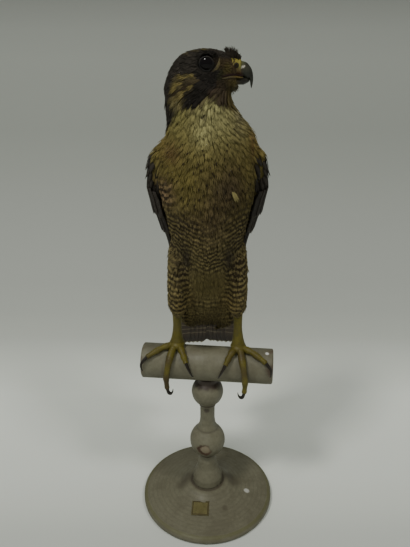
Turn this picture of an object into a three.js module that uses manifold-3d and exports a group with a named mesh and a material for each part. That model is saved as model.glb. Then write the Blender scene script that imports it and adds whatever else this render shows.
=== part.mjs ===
// A mounted peregrine falcon, life size, standing on a turned wooden T-perch. Millimetres, +Z up. The
// origin is the middle of the base's underside. The bird faces -Y and looks to +X, which is its own
// left, so left pieces lie on +X and right pieces on -X.

import * as THREE from "three";
import { mergeVertices } from "three/addons/utils/BufferGeometryUtils.js";
import Module from "manifold-3d";

const wasm = await Module();
wasm.setup();

const { lerp, clamp, degToRad, radToDeg } = THREE.MathUtils;

// Driving dimensions
const GAP = 0.3; // between touching pieces
const CLEAR = GAP + 0.05; // where a curved piece is cut by another's facets
const FINEST = 0.02; // edges shorter than this are closed up

const BASE_RADIUS = 80;
const BASE_EDGE = 9; // thickness of the disc at its rim
const BASE_TOP = 22.5; // top of the raised middle, where the stem stands
const BASE_SIDES = 32;
// The top of the disc from its rim to its raised middle: radius, height
const BASE_SLOPE = [
  [62, 11.3],
  [44, 14.2],
  [32, 17.8],
];
const STEM_FOOT_RADIUS = 18;
const LOWER_BALL = { z: 86, radius: 21.2 };
const UPPER_BALL = { z: 156, radius: 18.4 };
const NECK_RADIUS = 8.6; // of the stem, between the balls
const BAR_RADIUS = 20;
const BAR_LENGTH = 148;
const BAR_Z = 193.5;
const BAR_YAW = degToRad(5.65); // its left-hand end is nearer the front than its other end
const LABEL = { width: 20.5, depth: 18.5, thick: 0.6, x: -8.5, y: -41, turn: -0.06 };

const STANCE = 34.5; // each foot's distance from the middle of the bar
const ANKLE = { x: 33.4, y: -1, z: 252 }; // top of the bare shank
const SHANK_RADIUS = 4.7;
const TOE_RADIUS = 3.7;
const CLAW_RADIUS = 2.5;
const EYE_RADIUS = 7.4;
const EYE_SIDE = 15.2; // each eye's centre from the middle of the head
const HEAD_AT = { x: 0.3, y: 4.5, z: 512.8 }; // midway between the eyes
const HEAD_TURN = degToRad(-4); // from looking straight along +X
const TAIL_ROOT = { y: 71, z: 232, half: 20 };
const TAIL_TIP = { y: 103, z: 162, half: 32 };
const TAIL_STEP = 0.75; // from each tail feather's face to the next one's
const WING_TOP_Z = 441;
const CORE_END_Z = 236; // the wing's core ends here, and only flight feathers go on
const CORE_DEPTH = 2.2; // from the feathered surface of the wing down to its core
const VANE_THICK = 0.6;
const BODY_TOP_Z = 500;
const NECK_BASE_Z = 446;
const BODY_END_Z = 213;

// The body's level sections: height, middle across, half width, front, back
const BODY = [
  [503, -8, 27, -18, 26],
  [490, -8.5, 30.5, -21, 29],
  [478, -8, 32.5, -24, 31],
  [462, -0.5, 38, -31, 35],
  [446, 3, 42.5, -41, 40],
  [425, 0.5, 49.5, -51, 46],
  [400, 0, 49.5, -58, 52],
  [385, 0, 46, -59.5, 55],
  [370, 0, 42.5, -59, 58],
  [355, 0, 39.5, -57, 61],
  [340, 0, 37.2, -53, 64],
  [310, 0, 34.5, -40, 69],
  [280, 0, 32, -22, 74],
  [255, 0, 29, 5, 79],
  [230, 0, 26, 36, 83],
  [212, 0, 17, 60, 86],
];

// The head's upright sections, from nape to face: distance ahead of the eyes, top, bottom, half width
const HEAD = [
  [-41, -21, -28, 4],
  [-38, -12.5, -37, 12],
  [-33, -2.5, -41, 17.5],
  [-26, 5, -42, 20.5],
  [-17, 8.8, -41.5, 22.3],
  [-7, 10.6, -40, 22.8],
  [3, 10.7, -37, 21.6],
  [11, 9.6, -33, 19],
  [18, 7.8, -28.5, 15],
  [24, 5.2, -25, 11.4],
  [28, 3, -22, 8.8],
];

// The cere's upright sections: distance ahead of the eyes, top, bottom, half width
const CERE = [
  [20, 5, -12.6, 9.4],
  [24, 4.3, -12.4, 8.4],
  [28, 2.8, -12.2, 7.2],
  [30.6, 1.6, -12, 6.5],
];

// The hooked upper bill's middle line, ahead of and above the eyes, and its radius along that line
const BILL_LINE = [
  [28.5, -5.2],
  [32.4, -5.4],
  [35.5, -7],
  [37.9, -10.1],
  [39.3, -13.7],
  [39.9, -17.2],
  [39.7, -20.6],
];
const BILL_RADII = [
  [0, 6.9],
  [0.2, 6.4],
  [0.4, 5.3],
  [0.6, 3.9],
  [0.78, 2.4],
  [0.9, 1.4],
  [1, 0.35],
];

// A feathered thigh's level sections: height, distance from the middle, half width, front, back
const THIGH = [
  [346, 30, 9, 9, 30],
  [335, 29.7, 11.5, -24, 34],
  [318, 30.2, 12.6, -33, 33],
  [290, 30.6, 12.8, -33, 27],
  [265, 31.2, 11.8, -25, 19],
  [252, 31.8, 9.6, -16, 11],
  [243, 32, 6.4, -9, 6],
];

// Each toe over the bar, and its claw, as points: distance along the bar outwards from the foot,
// degrees from the bar's top, lift above the bar
const TOES = {
  middle: {
    toe: [[0, 6, 4.6], [3.3, 26, 4.5], [6.4, 60, 4.2], [9, 98, 4.6], [9.2, 118, 6.4], [8.2, 131, 9.2]],
    claw: [[8.3, 128, 8.8], [7, 138, 11.4], [4.4, 139, 12], [2.6, 132, 10]],
  },
  outer: {
    toe: [[2, 4, 4.6], [9, 14, 4.4], [15.5, 22, 4.2], [24, 37, 4.1], [32, 52, 4.1]],
    claw: [[31.4, 51, 4.1], [36.6, 66, 4.8], [37.4, 79, 4.4], [36, 92, 2.6]],
  },
  inner: {
    toe: [[-2, 6, 4.6], [-6.5, 27, 4.3], [-10, 46, 4.2], [-13, 63, 4.2]],
    claw: [[-12.7, 61, 4.2], [-16.2, 78, 5.2], [-19, 92, 4.8], [-21, 103, 2.6]],
  },
  hallux: {
    toe: [[0, -8, 4.6], [-2, -40, 4.3], [-3.5, -70, 4.2]],
    claw: [[-3.3, -67, 4.3], [-4.4, -86, 5.8], [-5.2, -104, 5.2], [-5.6, -118, 2.6]],
  },
};

// The folded wing's level sections: height, then x and y of its front edge, outermost line and back
// edge
const WING = [
  [441, 34, -14, 45, 4, 30, 28],
  [430, 44, -19, 56.2, 4, 32, 38],
  [415, 49.3, -19, 59.8, 5, 30, 46],
  [400, 50, -15, 60.5, 8, 27, 52],
  [385, 48, -9, 56.8, 12.5, 23, 57.5],
  [370, 45, -2, 52.5, 18, 19, 62.5],
  [355, 41.5, 6, 47.5, 24, 15, 67.5],
  [338, 37.5, 14, 41.5, 31, 11, 72.5],
  [310, 33, 27, 35.5, 43, 7, 78.5],
  [280, 28.5, 41, 30, 56, 4.5, 85],
  [250, 24.5, 56, 25.5, 67.5, 3.5, 91],
  [232, 23, 70, 23, 79, 3, 95.5],
  [218, 21.5, 80.5, 20, 87.5, 3, 98.5],
  [195, 17.5, 92, 14.5, 97.5, 2.5, 104],
  [170, 10.5, 103.5, 7.5, 106.8, 2, 110],
];
// The thickness of the wing's core: height, thickness
const WING_THICK = [
  [441, 7],
  [420, 8],
  [380, 8],
  [320, 6],
  [250, 2.6],
  [236, 1.6],
];

// The wing's feathers in rows: primaries, secondaries, greater and median coverts, and the lesser
// coverts up to the shoulder. Each row runs from the wing's front edge to its back edge, and front and
// back give its first and last feather: the tip's height, the place of the root and of the tip across
// the wing, and the feather's length. lift is how far the root and the tip stand off the wing, slope
// how much each feather's front edge is raised over the one before it, and point how blunt its tip is.
const WING_ROWS = [
  { count: 6, steps: 4, width: [14, 18], lift: [-3, -2.6], slope: 0.26, point: 0.62,
    front: [170, 0.2, 0.34, 84], back: [226, 0.66, 0.82, 64] },
  { count: 5, steps: 3, width: [18, 23], lift: [-2.6, 0.5], slope: 0.15, point: 0.8,
    front: [250, 0.32, 0.34, 60], back: [268, 0.84, 0.82, 72] },
  { count: 5, steps: 2, width: [18, 21], lift: [-2.6, 0.4], slope: 0.1, point: 0.85,
    front: [322, 0.18, 0.18, 36], back: [326, 0.84, 0.84, 42] },
  { count: 5, steps: 2, width: [18, 20], lift: [-2.6, 0.4], slope: 0.1, point: 0.9,
    front: [352, 0.14, 0.14, 28], back: [360, 0.84, 0.84, 30] },
  { count: 5, steps: 2, width: [18, 20], lift: [-2.6, 0.3], slope: 0.1, point: 0.9,
    front: [378, 0.14, 0.14, 24], back: [386, 0.84, 0.84, 26] },
  { count: 5, steps: 2, width: [18, 20], lift: [-2.6, 0.3], slope: 0.1, point: 0.9,
    front: [402, 0.14, 0.14, 22], back: [408, 0.84, 0.84, 22] },
  { count: 4, steps: 2, width: [17, 18], lift: [-2.6, 0.3], slope: 0.1, point: 0.9,
    front: [421, 0.2, 0.2, 15], back: [425, 0.8, 0.8, 15] },
];

// Tools that every piece shares

// The value at x in one column of rows whose first column rises or falls, on a smooth curve through
// the rows.
function smooth(rows, column, x) {
  const way = Math.sign(rows[rows.length - 1][0] - rows[0][0]);
  let i = 0;
  while (i < rows.length - 2 && way * (x - rows[i + 1][0]) > 0) i++;
  const at = (k) => rows[clamp(k, 0, rows.length - 1)];
  const [before, a, b, after] = [at(i - 1), at(i), at(i + 1), at(i + 2)];
  const step = b[0] - a[0];
  const t = clamp((x - a[0]) / step, 0, 1);
  const slopeA = ((b[column] - before[column]) / (b[0] - before[0])) * step;
  const slopeB = ((after[column] - a[column]) / (after[0] - a[0])) * step;
  const [t2, t3] = [t * t, t * t * t];
  return (
    (2 * t3 - 3 * t2 + 1) * a[column] +
    (t3 - 2 * t2 + t) * slopeA +
    (3 * t2 - 2 * t3) * b[column] +
    (t3 - t2) * slopeB
  );
}

// A closed three.js geometry as a solid, turned to face out whichever way it was mapped.
function solid(geometry) {
  const bare = new THREE.BufferGeometry();
  bare.setAttribute("position", geometry.getAttribute("position"));
  bare.setIndex(geometry.index);
  const merged = mergeVertices(bare, 1e-4);
  const index = merged.index.array;
  const faces = [];
  for (let i = 0; i < index.length; i += 3) {
    const [a, b, c] = [index[i], index[i + 1], index[i + 2]];
    if (a !== b && b !== c && c !== a) faces.push([a, b, c]);
  }
  const build = (list) =>
    new wasm.Manifold(
      new wasm.Mesh({
        numProp: 3,
        vertProperties: merged.attributes.position.array,
        triVerts: new Uint32Array(list.flat()),
      }),
    );
  const made = build(faces);
  return made.volume() > 0 ? made : build(faces.map(([a, b, c]) => [a, c, b]));
}

// The largest closed surface of a solid: it drops loose scraps and fills sealed hollows.
function largest(shape) {
  return shape.decompose().reduce((best, one) => (one.volume() > best.volume() ? one : best));
}

// A solid through rings of points: place(t, c, s) puts the unit circle's point (c, s) on the ring at t.
function lofted(rings, around, place) {
  const geometry = new THREE.CylinderGeometry(1, 1, 1, around, rings);
  const p = geometry.getAttribute("position");
  for (let i = 0; i < p.count; i++) {
    const v = place(0.5 - p.getY(i), p.getX(i), p.getZ(i));
    p.setXYZ(i, v.x, v.y, v.z);
  }
  return solid(geometry);
}

// A round piece that follows points, its radius at t from radius(t), and its width times flat.
function swept(points, radius, { rings, around, flat = 1 }) {
  const curve = new THREE.CatmullRomCurve3(points, false, "centripetal");
  const frames = curve.computeFrenetFrames(rings, false);
  return lofted(rings, around, (t, c, s) => {
    const k = Math.round(t * rings);
    const r = radius(t);
    return curve
      .getPointAt(t)
      .addScaledVector(frames.normals[k], c * r * flat)
      .addScaledVector(frames.binormals[k], s * r);
  });
}

// A thin feather from its root at t = 0 to its tip at t = 1. place(t, across, face) gives its points,
// with across from -1 to 1, and face 1 outside or 0 inside. Both faces are split along the same
// diagonals, so that they never cross.
function blade(steps, place) {
  const points = [];
  const faces = [];
  const quad = (a, b, c, d) => faces.push(a, b, c, a, c, d);
  for (let i = 0; i <= steps; i++) {
    const t = 1 - (1 - i / steps) ** 1.5;
    for (const [across, face] of [[-1, 1], [1, 1], [1, 0], [-1, 0]])
      points.push(place(t, across, face));
  }
  const end = 4 * steps;
  for (let k = 0; k < end; k += 4) {
    quad(k, k + 1, k + 5, k + 4);
    quad(k + 3, k + 7, k + 6, k + 2);
    quad(k + 1, k + 2, k + 6, k + 5);
    quad(k, k + 4, k + 7, k + 3);
  }
  quad(0, 3, 2, 1);
  quad(end, end + 1, end + 2, end + 3);
  return solid(new THREE.BufferGeometry().setFromPoints(points).setIndex(faces));
}

// A feather's half width at t: full along its middle, narrower at its root, and point of it near its
// tip.
const vaneHalf = (width, point, t) =>
  (width / 2) * smooth([[0, 0.55], [0.35, 1], [0.65, 1], [0.88, point], [1, 0.28 * point]], 1, t);

// A ball about a centre, with a radius of its own along each axis.
function ball(centre, radii, around, rings) {
  return solid(new THREE.SphereGeometry(1, around, rings).scale(...radii).translate(...centre));
}

// A piece turned on a lathe about the z axis, from [radius, height] pairs.
function turned(profile, around) {
  const points = profile.map(([r, z]) => new THREE.Vector2(r, z));
  return solid(new THREE.LatheGeometry(points, around).rotateX(Math.PI / 2));
}

const group = new THREE.Group();

// Adds one named node to the group.
function node(name, shape, material, parent = group) {
  const { numProp, vertProperties, triVerts } = largest(shape.simplify(FINEST)).getMesh();
  const count = vertProperties.length / numProp;
  const places = new Float32Array(count * 3);
  for (let i = 0; i < count; i++)
    places.set(vertProperties.subarray(i * numProp, i * numProp + 3), i * 3);
  const geometry = new THREE.BufferGeometry();
  geometry.setAttribute("position", new THREE.BufferAttribute(places, 3));
  geometry.setIndex(new THREE.BufferAttribute(triVerts, 1));
  geometry.computeVertexNormals();
  const mesh = new THREE.Mesh(geometry, material);
  mesh.name = name;
  parent.add(mesh);
}

const finish = (color, roughness) =>
  new THREE.MeshStandardMaterial({ color, roughness, metalness: 0 });
const PAINT = finish(0x8f8c7c, 0.6);
const PAPER = finish(0x8c7c3e, 0.8);
const SLATE = finish(0x2a2826, 0.7);
const BUFF = finish(0x8d8058, 0.85);
const BARRED = finish(0x6b5f42, 0.85);
const HORN = finish(0x22241f, 0.35);
const WAX = finish(0x8f7a1c, 0.5);
const SKIN = finish(0x7d7418, 0.6);
const GLASS = finish(0x050404, 0.05);

// Seeded noise from -amount to amount, so that no two feathers are alike
let seed = 17;
function vary(amount) {
  seed = (seed * 16807) % 2147483647;
  return amount * ((2 * seed) / 2147483647 - 1);
}

// Left and right: the side of x, and the word in the nodes' names
const SIDES = [
  [1, "left"],
  [-1, "right"],
];

// The stand: disc base, turned stem, round bar and a small label
const EDGE_ROUND = 2.2;

// The disc's section from the axis out, over the rim and back to the axis, its top raised by lift.
function discSection(lift) {
  return [
    [0, 0],
    [BASE_RADIUS - EDGE_ROUND, 0],
    [BASE_RADIUS, EDGE_ROUND],
    [BASE_RADIUS, BASE_EDGE - EDGE_ROUND + lift],
    [BASE_RADIUS - EDGE_ROUND, BASE_EDGE + lift],
    ...BASE_SLOPE.map(([r, z]) => [r, z + lift]),
    [27.5, 20.8 + lift],
    [24, BASE_TOP + lift],
    [0, BASE_TOP + lift],
  ];
}

// Points on a turned ball's side, from a low angle to a high one.
function arc({ z, radius }, low, high, count) {
  return Array.from({ length: count + 1 }, (_, i) => {
    const a = degToRad(lerp(low, high, i / count));
    return [radius * Math.cos(a), z + radius * Math.sin(a)];
  });
}

const STEM_SECTION = [
  [0, BASE_TOP + GAP],
  [STEM_FOOT_RADIUS, BASE_TOP + GAP],
  [STEM_FOOT_RADIUS, 32],
  [16.5, 36.5],
  [12.5, 46],
  [11, 56],
  [8.5, 63],
  ...arc(LOWER_BALL, -58, 52, 7),
  [NECK_RADIUS + 1.2, 110],
  [NECK_RADIUS, 118],
  [NECK_RADIUS, 136],
  [NECK_RADIUS + 1, 137],
  [11.4, 141.5],
  ...arc(UPPER_BALL, -46, 50, 6),
  [11.5, 178],
  [0, 178],
];

// The bar's own directions: along it to its left-hand end, and out of its front
const ALONG = new THREE.Vector3(Math.cos(BAR_YAW), -Math.sin(BAR_YAW), 0);
const FRONT = new THREE.Vector3(-Math.sin(BAR_YAW), -Math.cos(BAR_YAW), 0);

// A point at s along the bar, at an angle from its top towards its front, and lift above its surface.
function onBar(s, degrees, lift) {
  const a = degToRad(degrees);
  const r = BAR_RADIUS + lift;
  return new THREE.Vector3(0, 0, BAR_Z + r * Math.cos(a))
    .addScaledVector(ALONG, s)
    .addScaledVector(FRONT, r * Math.sin(a));
}

function bar(grow) {
  const r = BAR_RADIUS + grow;
  const half = BAR_LENGTH / 2 + grow;
  const bevel = 1;
  const section = [
    [0, -half],
    [r - bevel, -half],
    [r, bevel - half],
    [r, half - bevel],
    [r - bevel, half],
    [0, half],
  ];
  return solid(
    new THREE.LatheGeometry(section.map(([x, y]) => new THREE.Vector2(x, y)), 32)
      .rotateZ(-Math.PI / 2)
      .rotateZ(-BAR_YAW)
      .translate(0, 0, BAR_Z),
  );
}
const barClear = bar(GAP);

// The label lies on the sloping top of the disc.
function label() {
  const [[outerRadius, outerZ], [innerRadius, innerZ]] = BASE_SLOPE;
  const slope = (innerZ - outerZ) / (outerRadius - innerRadius);
  const floor = innerZ + (innerRadius - Math.hypot(LABEL.x, LABEL.y)) * slope;
  return solid(
    new THREE.BoxGeometry(LABEL.width, LABEL.depth, LABEL.thick)
      .rotateX(slope)
      .rotateZ(LABEL.turn)
      .translate(LABEL.x, LABEL.y, floor + LABEL.thick / 2 + 3 * GAP),
  );
}

node("stand_base", turned(discSection(0), BASE_SIDES), PAINT);
node("stand_stem", turned(STEM_SECTION, 14).subtract(barClear), PAINT);
node("stand_bar", bar(0), PAINT);
node("stand_label", label().subtract(turned(discSection(GAP), BASE_SIDES)), PAPER);

// Torso and neck: one body through the level sections, parted at the neck's base
function body(top, bottom, rings, grow) {
  return lofted(rings, 20, (t, c, s) => {
    const z = lerp(top, bottom, t);
    const half = smooth(BODY, 2, z) + grow;
    const [front, back] = [smooth(BODY, 3, z) - grow, smooth(BODY, 4, z) + grow];
    return new THREE.Vector3(
      smooth(BODY, 1, z) + half * c,
      (front + back) / 2 + ((back - front) / 2) * s,
      z,
    );
  });
}
const torso = (grow) => body(NECK_BASE_Z + grow, BODY_END_Z - grow, 13, grow);
const neck = (grow) => body(BODY_TOP_Z + grow, NECK_BASE_Z + GAP - grow, 5, grow);
const bodyClear = torso(CLEAR).add(neck(CLEAR));

// The head, in its own frame: x ahead, y to its left, z up, with the eyes at x = 0 and z = 0
const headFrame = new THREE.Group();
headFrame.position.set(HEAD_AT.x, HEAD_AT.y, HEAD_AT.z);
headFrame.rotation.z = HEAD_TURN;
group.add(headFrame);

// A solid from the head's own frame, where it stands in the whole bird.
function fromHead(shape) {
  return shape.rotate([0, 0, radToDeg(HEAD_TURN)]).translate([HEAD_AT.x, HEAD_AT.y, HEAD_AT.z]);
}

// A closed form through upright sections of the head.
function sections(rows, rings, around, grow, place) {
  const [first, last] = [rows[0][0] - grow, rows[rows.length - 1][0] + grow];
  return lofted(rings, around, (t, c, s) => {
    const x = lerp(first, last, place(t));
    const [top, bottom] = [smooth(rows, 1, x) + grow, smooth(rows, 2, x) - grow];
    const half = smooth(rows, 3, x) + grow;
    return new THREE.Vector3(x, half * c, (top + bottom) / 2 + ((top - bottom) / 2) * s);
  });
}
// Rings lie closer together at both ends of the head.
const eased = (t) => 0.65 * t + 0.35 * ((1 - Math.cos(Math.PI * t)) / 2);
const skull = (grow) => sections(HEAD, 12, 18, grow, eased);
const cere = (grow) => sections(CERE, 3, 12, grow, (t) => t);

function upperBill(grow) {
  const line = BILL_LINE.map(([x, z]) => new THREE.Vector3(x, 0, z));
  const radius = (t) => smooth(BILL_RADII, 1, t) + grow;
  return swept(line, radius, { rings: 8, around: 10, flat: 0.82 });
}

// The falcon's tooth: a point on each cutting edge, just behind the hook
const tooth = (side) =>
  solid(new THREE.ConeGeometry(1.4, 4, 5).rotateX(Math.PI).translate(35, side * 3, -11.4));

function lowerBill(grow) {
  const [rear, tip] = [17, 37.4];
  return lofted(5, 10, (t, c, s) => {
    const half = lerp(7.2, 3.4, t * t) + grow;
    const deep = (s > 0 ? 2.2 : lerp(3.2, 1.9, t)) + grow;
    return new THREE.Vector3(lerp(rear - grow, tip + grow, t), half * c, deep * s - 15.3 + 0.5 * t);
  });
}

const eyeball = (side, grow) =>
  ball([0, side * EYE_SIDE, 0], Array(3).fill(EYE_RADIUS + grow), 12, 8);
const lid = (side) =>
  solid(
    new THREE.TorusGeometry(EYE_RADIUS, 1.4, 4, 12)
      .scale(1.04, 0.92, 1)
      .rotateX(Math.PI / 2)
      .translate(0, side * (EYE_SIDE + 3.7), 0),
  );
const brow = (side) => ball([2, side * (EYE_SIDE + 0.2), 7.6], [9, 4, 2], 8, 5);

const NOSTRIL = { x: 25.6, y: 8.8, z: -1.6, radius: 1.9, peg: 0.65 };
const nostrilRod = (side, radius) =>
  solid(
    new THREE.CylinderGeometry(radius, radius, 5, 10).translate(
      NOSTRIL.x,
      side * NOSTRIL.y,
      NOSTRIL.z,
    ),
  );
const MOUTH = { rear: 14, z: -12.3, wide: 0.6 };
const mouth = solid(
  new THREE.BoxGeometry(30, 40, MOUTH.wide).translate(MOUTH.rear + 15, 0, MOUTH.z),
);

// The ruffled feathers of the forehead: small pointed blades in rows that overlap over the cere
const TUFT = { rear: 13, front: 25, side: 4.4, tall: 7.4, half: 2.5, sunk: 2.2 };
function tuftFeather(row, rows, across) {
  const x = lerp(TUFT.rear, TUFT.front, row / (rows - 1));
  const y = TUFT.side * across * (1 - 0.35 * (row / rows));
  const root = new THREE.Vector3(x, y, smooth(HEAD, 1, x) - TUFT.sunk - 0.03 * y * y);
  const rise = new THREE.Vector3(1 + row, 0.35 * y, TUFT.tall + TUFT.sunk + vary(0.8));
  const turn = 0.9 + vary(0.4);
  const wide = new THREE.Vector3(Math.sin(turn), Math.cos(turn), 0);
  const thick = new THREE.Vector3(-wide.y, wide.x, 0).multiplyScalar(VANE_THICK);
  return blade(2, (t, side, face) =>
    root
      .clone()
      .addScaledVector(rise, t)
      .addScaledVector(wide, side * TUFT.half * vaneHalf(2, 0.55, t))
      .addScaledVector(thick, face - 0.5),
  );
}
const TUFT_ROWS = 4;

let head = skull(0);
for (let row = 0; row < TUFT_ROWS; row++)
  for (const across of row % 2 ? [-1, 0, 1] : [-0.5, 0.5])
    head = head.add(tuftFeather(row, TUFT_ROWS, across));
for (const [side] of SIDES) head = head.add(brow(side)).add(lid(side)).subtract(eyeball(side, GAP));
head = head.subtract(cere(GAP)).subtract(lowerBill(GAP)).subtract(upperBill(GAP)).subtract(mouth);
node("head", head, SLATE, headFrame);
for (const [side, name] of SIDES) node("eye_" + name, eyeball(side, 0), GLASS, headFrame);

let wax = cere(0);
for (const [side] of SIDES) {
  const peg = nostrilRod(side, NOSTRIL.peg).intersect(cere(0));
  wax = wax.subtract(nostrilRod(side, NOSTRIL.radius)).add(peg);
}
wax = wax.subtract(upperBill(GAP)).subtract(lowerBill(GAP)).subtract(mouth);
node("cere", wax, WAX, headFrame);
const hook = upperBill(0).add(tooth(1)).add(tooth(-1)).subtract(lowerBill(GAP));
node("bill_upper", hook, HORN, headFrame);
node("bill_lower", lowerBill(0), HORN, headFrame);
node("neck", neck(0).subtract(fromHead(skull(GAP + 0.1))), BUFF);
node("torso", torso(0), BUFF);

// Legs: feathered thighs, bare shanks with a pad, toes over the bar and their claws
function thigh(side, grow) {
  const [top, bottom] = [THIGH[0][0] + grow, THIGH[THIGH.length - 1][0] - grow];
  return lofted(8, 14, (t, c, s) => {
    const z = lerp(top, bottom, t);
    const half = (t === 0 ? 0.5 : 1) * smooth(THIGH, 2, z) + grow;
    const [front, back] = [smooth(THIGH, 3, z) - grow, smooth(THIGH, 4, z) + grow];
    return new THREE.Vector3(
      side * smooth(THIGH, 1, z) + half * c,
      (front + back) / 2 + ((back - front) / 2) * s,
      z,
    );
  });
}

function shank(side, grow) {
  const foot = onBar(side * STANCE, 0, 5);
  const line = [
    new THREE.Vector3(side * ANKLE.x, ANKLE.y, ANKLE.z + grow),
    new THREE.Vector3(side * ANKLE.x, (ANKLE.y + foot.y) / 2 - 1, (ANKLE.z + foot.z) / 2),
    foot,
  ];
  const radius = (t) => SHANK_RADIUS + 1.6 * (2 * t - 1) ** 4 + grow;
  const pad = ball(
    [foot.x, foot.y - 1, foot.z - 0.6],
    [8.6 + grow, 9.4 + grow, 5.2 + grow],
    12,
    7,
  );
  return swept(line, radius, { rings: 5, around: 10 }).add(pad).subtract(bar(GAP - grow));
}

const barLine = (side, places) =>
  places.map(([s, degrees, lift]) => onBar(side * (STANCE + s), degrees, lift));

// A toe swells at each joint and ends round; its claw is a thin curved horn.
function toe(side, places, grow) {
  const radius = (t) =>
    TOE_RADIUS - 0.9 * t + 0.25 * Math.cos(6 * Math.PI * t) - (t === 1 ? 0.7 : 0) + grow;
  return swept(barLine(side, places), radius, { rings: 7, around: 7 });
}
function claw(side, places) {
  const radius = (t) => CLAW_RADIUS * (1 - t) ** 0.75 + 0.3;
  return swept(barLine(side, places), radius, { rings: 6, around: 5, flat: 0.8 });
}

const thighClear = {};
for (const [side, name] of SIDES) {
  const shankClear = shank(side, GAP);
  thighClear[name] = thigh(side, CLEAR);
  node("thigh_" + name, thigh(side, 0).subtract(bodyClear).subtract(shankClear), BARRED);
  node("shank_" + name, shank(side, 0), SKIN);
  let taken = shankClear.add(barClear);
  for (const [which, line] of Object.entries(TOES)) {
    node(`toe_${name}_${which}`, toe(side, line.toe, 0).subtract(taken), SKIN);
    taken = taken.add(toe(side, line.toe, GAP));
    node(`claw_${name}_${which}`, claw(side, line.claw).subtract(taken), HORN);
  }
}

// Wings: a folded core that lies along the body's side and back

// A point on the folded wing at height z, v from its front edge (0) to its back edge (1), and lift
// outwards.
function onWing(side, z, v, lift) {
  const [front, outer, back] = [1, 3, 5].map(
    (k) => new THREE.Vector2(smooth(WING, k, z), smooth(WING, k + 1, z)),
  );
  const control = outer.multiplyScalar(2).addScaledVector(front, -0.5).addScaledVector(back, -0.5);
  const curve = new THREE.QuadraticBezierCurve(front, control, back);
  const at = curve.getPoint(v);
  const along = curve.getTangent(v);
  return new THREE.Vector3(side * (at.x + along.y * lift), at.y - along.x * lift, z);
}

function wingCore(side) {
  return lofted(9, 10, (t, c, s) => {
    const z = lerp(WING_TOP_Z, CORE_END_Z, t);
    const depth = (smooth(WING_THICK, 1, z) / 2) * (s - 1) - CORE_DEPTH;
    const spread = lerp(0.5, 0.22, Math.max(0, 2 * t - 1));
    return onWing(side, z, 0.5 + spread * c, depth);
  });
}

// One feather laid down the wing, close to it at its root and lifted towards its tip.
function wingFeather(side, { tipZ, rootV, tipV, long, width, point, lift, slope, steps }) {
  return blade(steps, (t, across, face) => {
    const z = tipZ + long * (1 - t);
    const half = across * vaneHalf(width, point, t);
    const chord = onWing(side, z, 0, 0).distanceTo(onWing(side, z, 1, 0));
    const v = lerp(rootV, tipV, t) + half / Math.max(chord, 14);
    const thick = lerp(VANE_THICK, 0.5, t) * (1 - face);
    const tilt = slope * half * lerp(0.4, 1, t);
    return onWing(side, z, v, lerp(...lift, t ** 1.5) - tilt - thick);
  });
}

function feathered(side) {
  let wing = wingCore(side);
  for (const row of WING_ROWS)
    for (let i = 0; i < row.count; i++) {
      const f = i / (row.count - 1);
      const [tipZ, rootV, tipV, long] = row.front.map((value, k) => lerp(value, row.back[k], f));
      const own = {
        tipZ: tipZ + vary(0.05 * long),
        rootV,
        tipV: tipV + vary(0.01),
        long,
        width: lerp(...row.width, f) * (1 + vary(0.05)),
      };
      wing = wing.add(wingFeather(side, { ...row, ...own }));
    }
  return wing;
}

// The tail: twelve feathers in a narrow fan that hangs behind the bar, hollow side to the front. The
// middle pair is the rearmost.
const TAIL_PAIRS = 6;

// A point on the tail at t from its root, x from its middle, and forward of its rear face.
function onTail(t, x, forward) {
  return new THREE.Vector3(
    x,
    lerp(TAIL_ROOT.y, TAIL_TIP.y, t) - 0.004 * x * x - forward,
    lerp(TAIL_ROOT.z, TAIL_TIP.z, t),
  );
}

function tailFeather(side, pair) {
  const middle = (t) => side * (pair - 0.5) * lerp(2.4, 4.5, t);
  const layer = (pair - 1) * TAIL_STEP + (side > 0 ? 0 : TAIL_STEP / 2);
  const [short, width] = [0.006 * pair * pair + vary(0.015), 15 * (1 + vary(0.05))];
  return blade(4, (t, across, face) => {
    const x = middle(t) + across * vaneHalf(width, 0.86, t);
    return onTail(t * (1 - short), x, layer + (TAIL_STEP + 0.1) * face);
  });
}

// The whole of the tail's space, for what has to stay clear of it.
function tailSpace(grow) {
  const deep = TAIL_PAIRS * TAIL_STEP + VANE_THICK;
  return lofted(3, 16, (t, c, s) => {
    const x = (lerp(TAIL_ROOT.half, TAIL_TIP.half, t) + grow) * c;
    return onTail(lerp(-0.02, 1.02, t), x, deep / 2 - (deep / 2 + grow) * s);
  });
}

// All that a wing has to stay clear of, the other wing's half of the bird included.
function wingClear(side, name) {
  const across = new THREE.BoxGeometry(200, 400, 600).translate(-side * (100 - 0.5), 0, 300);
  return bodyClear.add(thighClear[name]).add(tailSpace(CLEAR)).add(solid(across));
}

for (const [side, name] of SIDES)
  node("wing_" + name, feathered(side).subtract(wingClear(side, name)), SLATE);

let tail = tailFeather(1, 1);
for (let pair = 1; pair <= TAIL_PAIRS; pair++)
  for (const [side] of SIDES) tail = tail.add(tailFeather(side, pair));
node("tail", tail.subtract(bodyClear), SLATE);

export default group;
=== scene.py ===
# %% [markdown]
# # A mounted peregrine falcon on a turned stand
#
# An old museum mount: a peregrine falcon at its real size, standing on a round bar over a turned and
# painted stem and disc. The solids of the frame give every place and size. This script dresses them:
# feathers, horn, scales, glass eyes and old paint.
#
# Lengths are metres, and sizes are written in millimetres times MM. Tables and places on the head are
# in millimetres.

# %% Load the frame
import math

import bmesh
import bpy
import numpy as np
from mathutils import Matrix, Vector, noise
from mathutils.bvhtree import BVHTree
from mathutils.kdtree import KDTree


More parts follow.
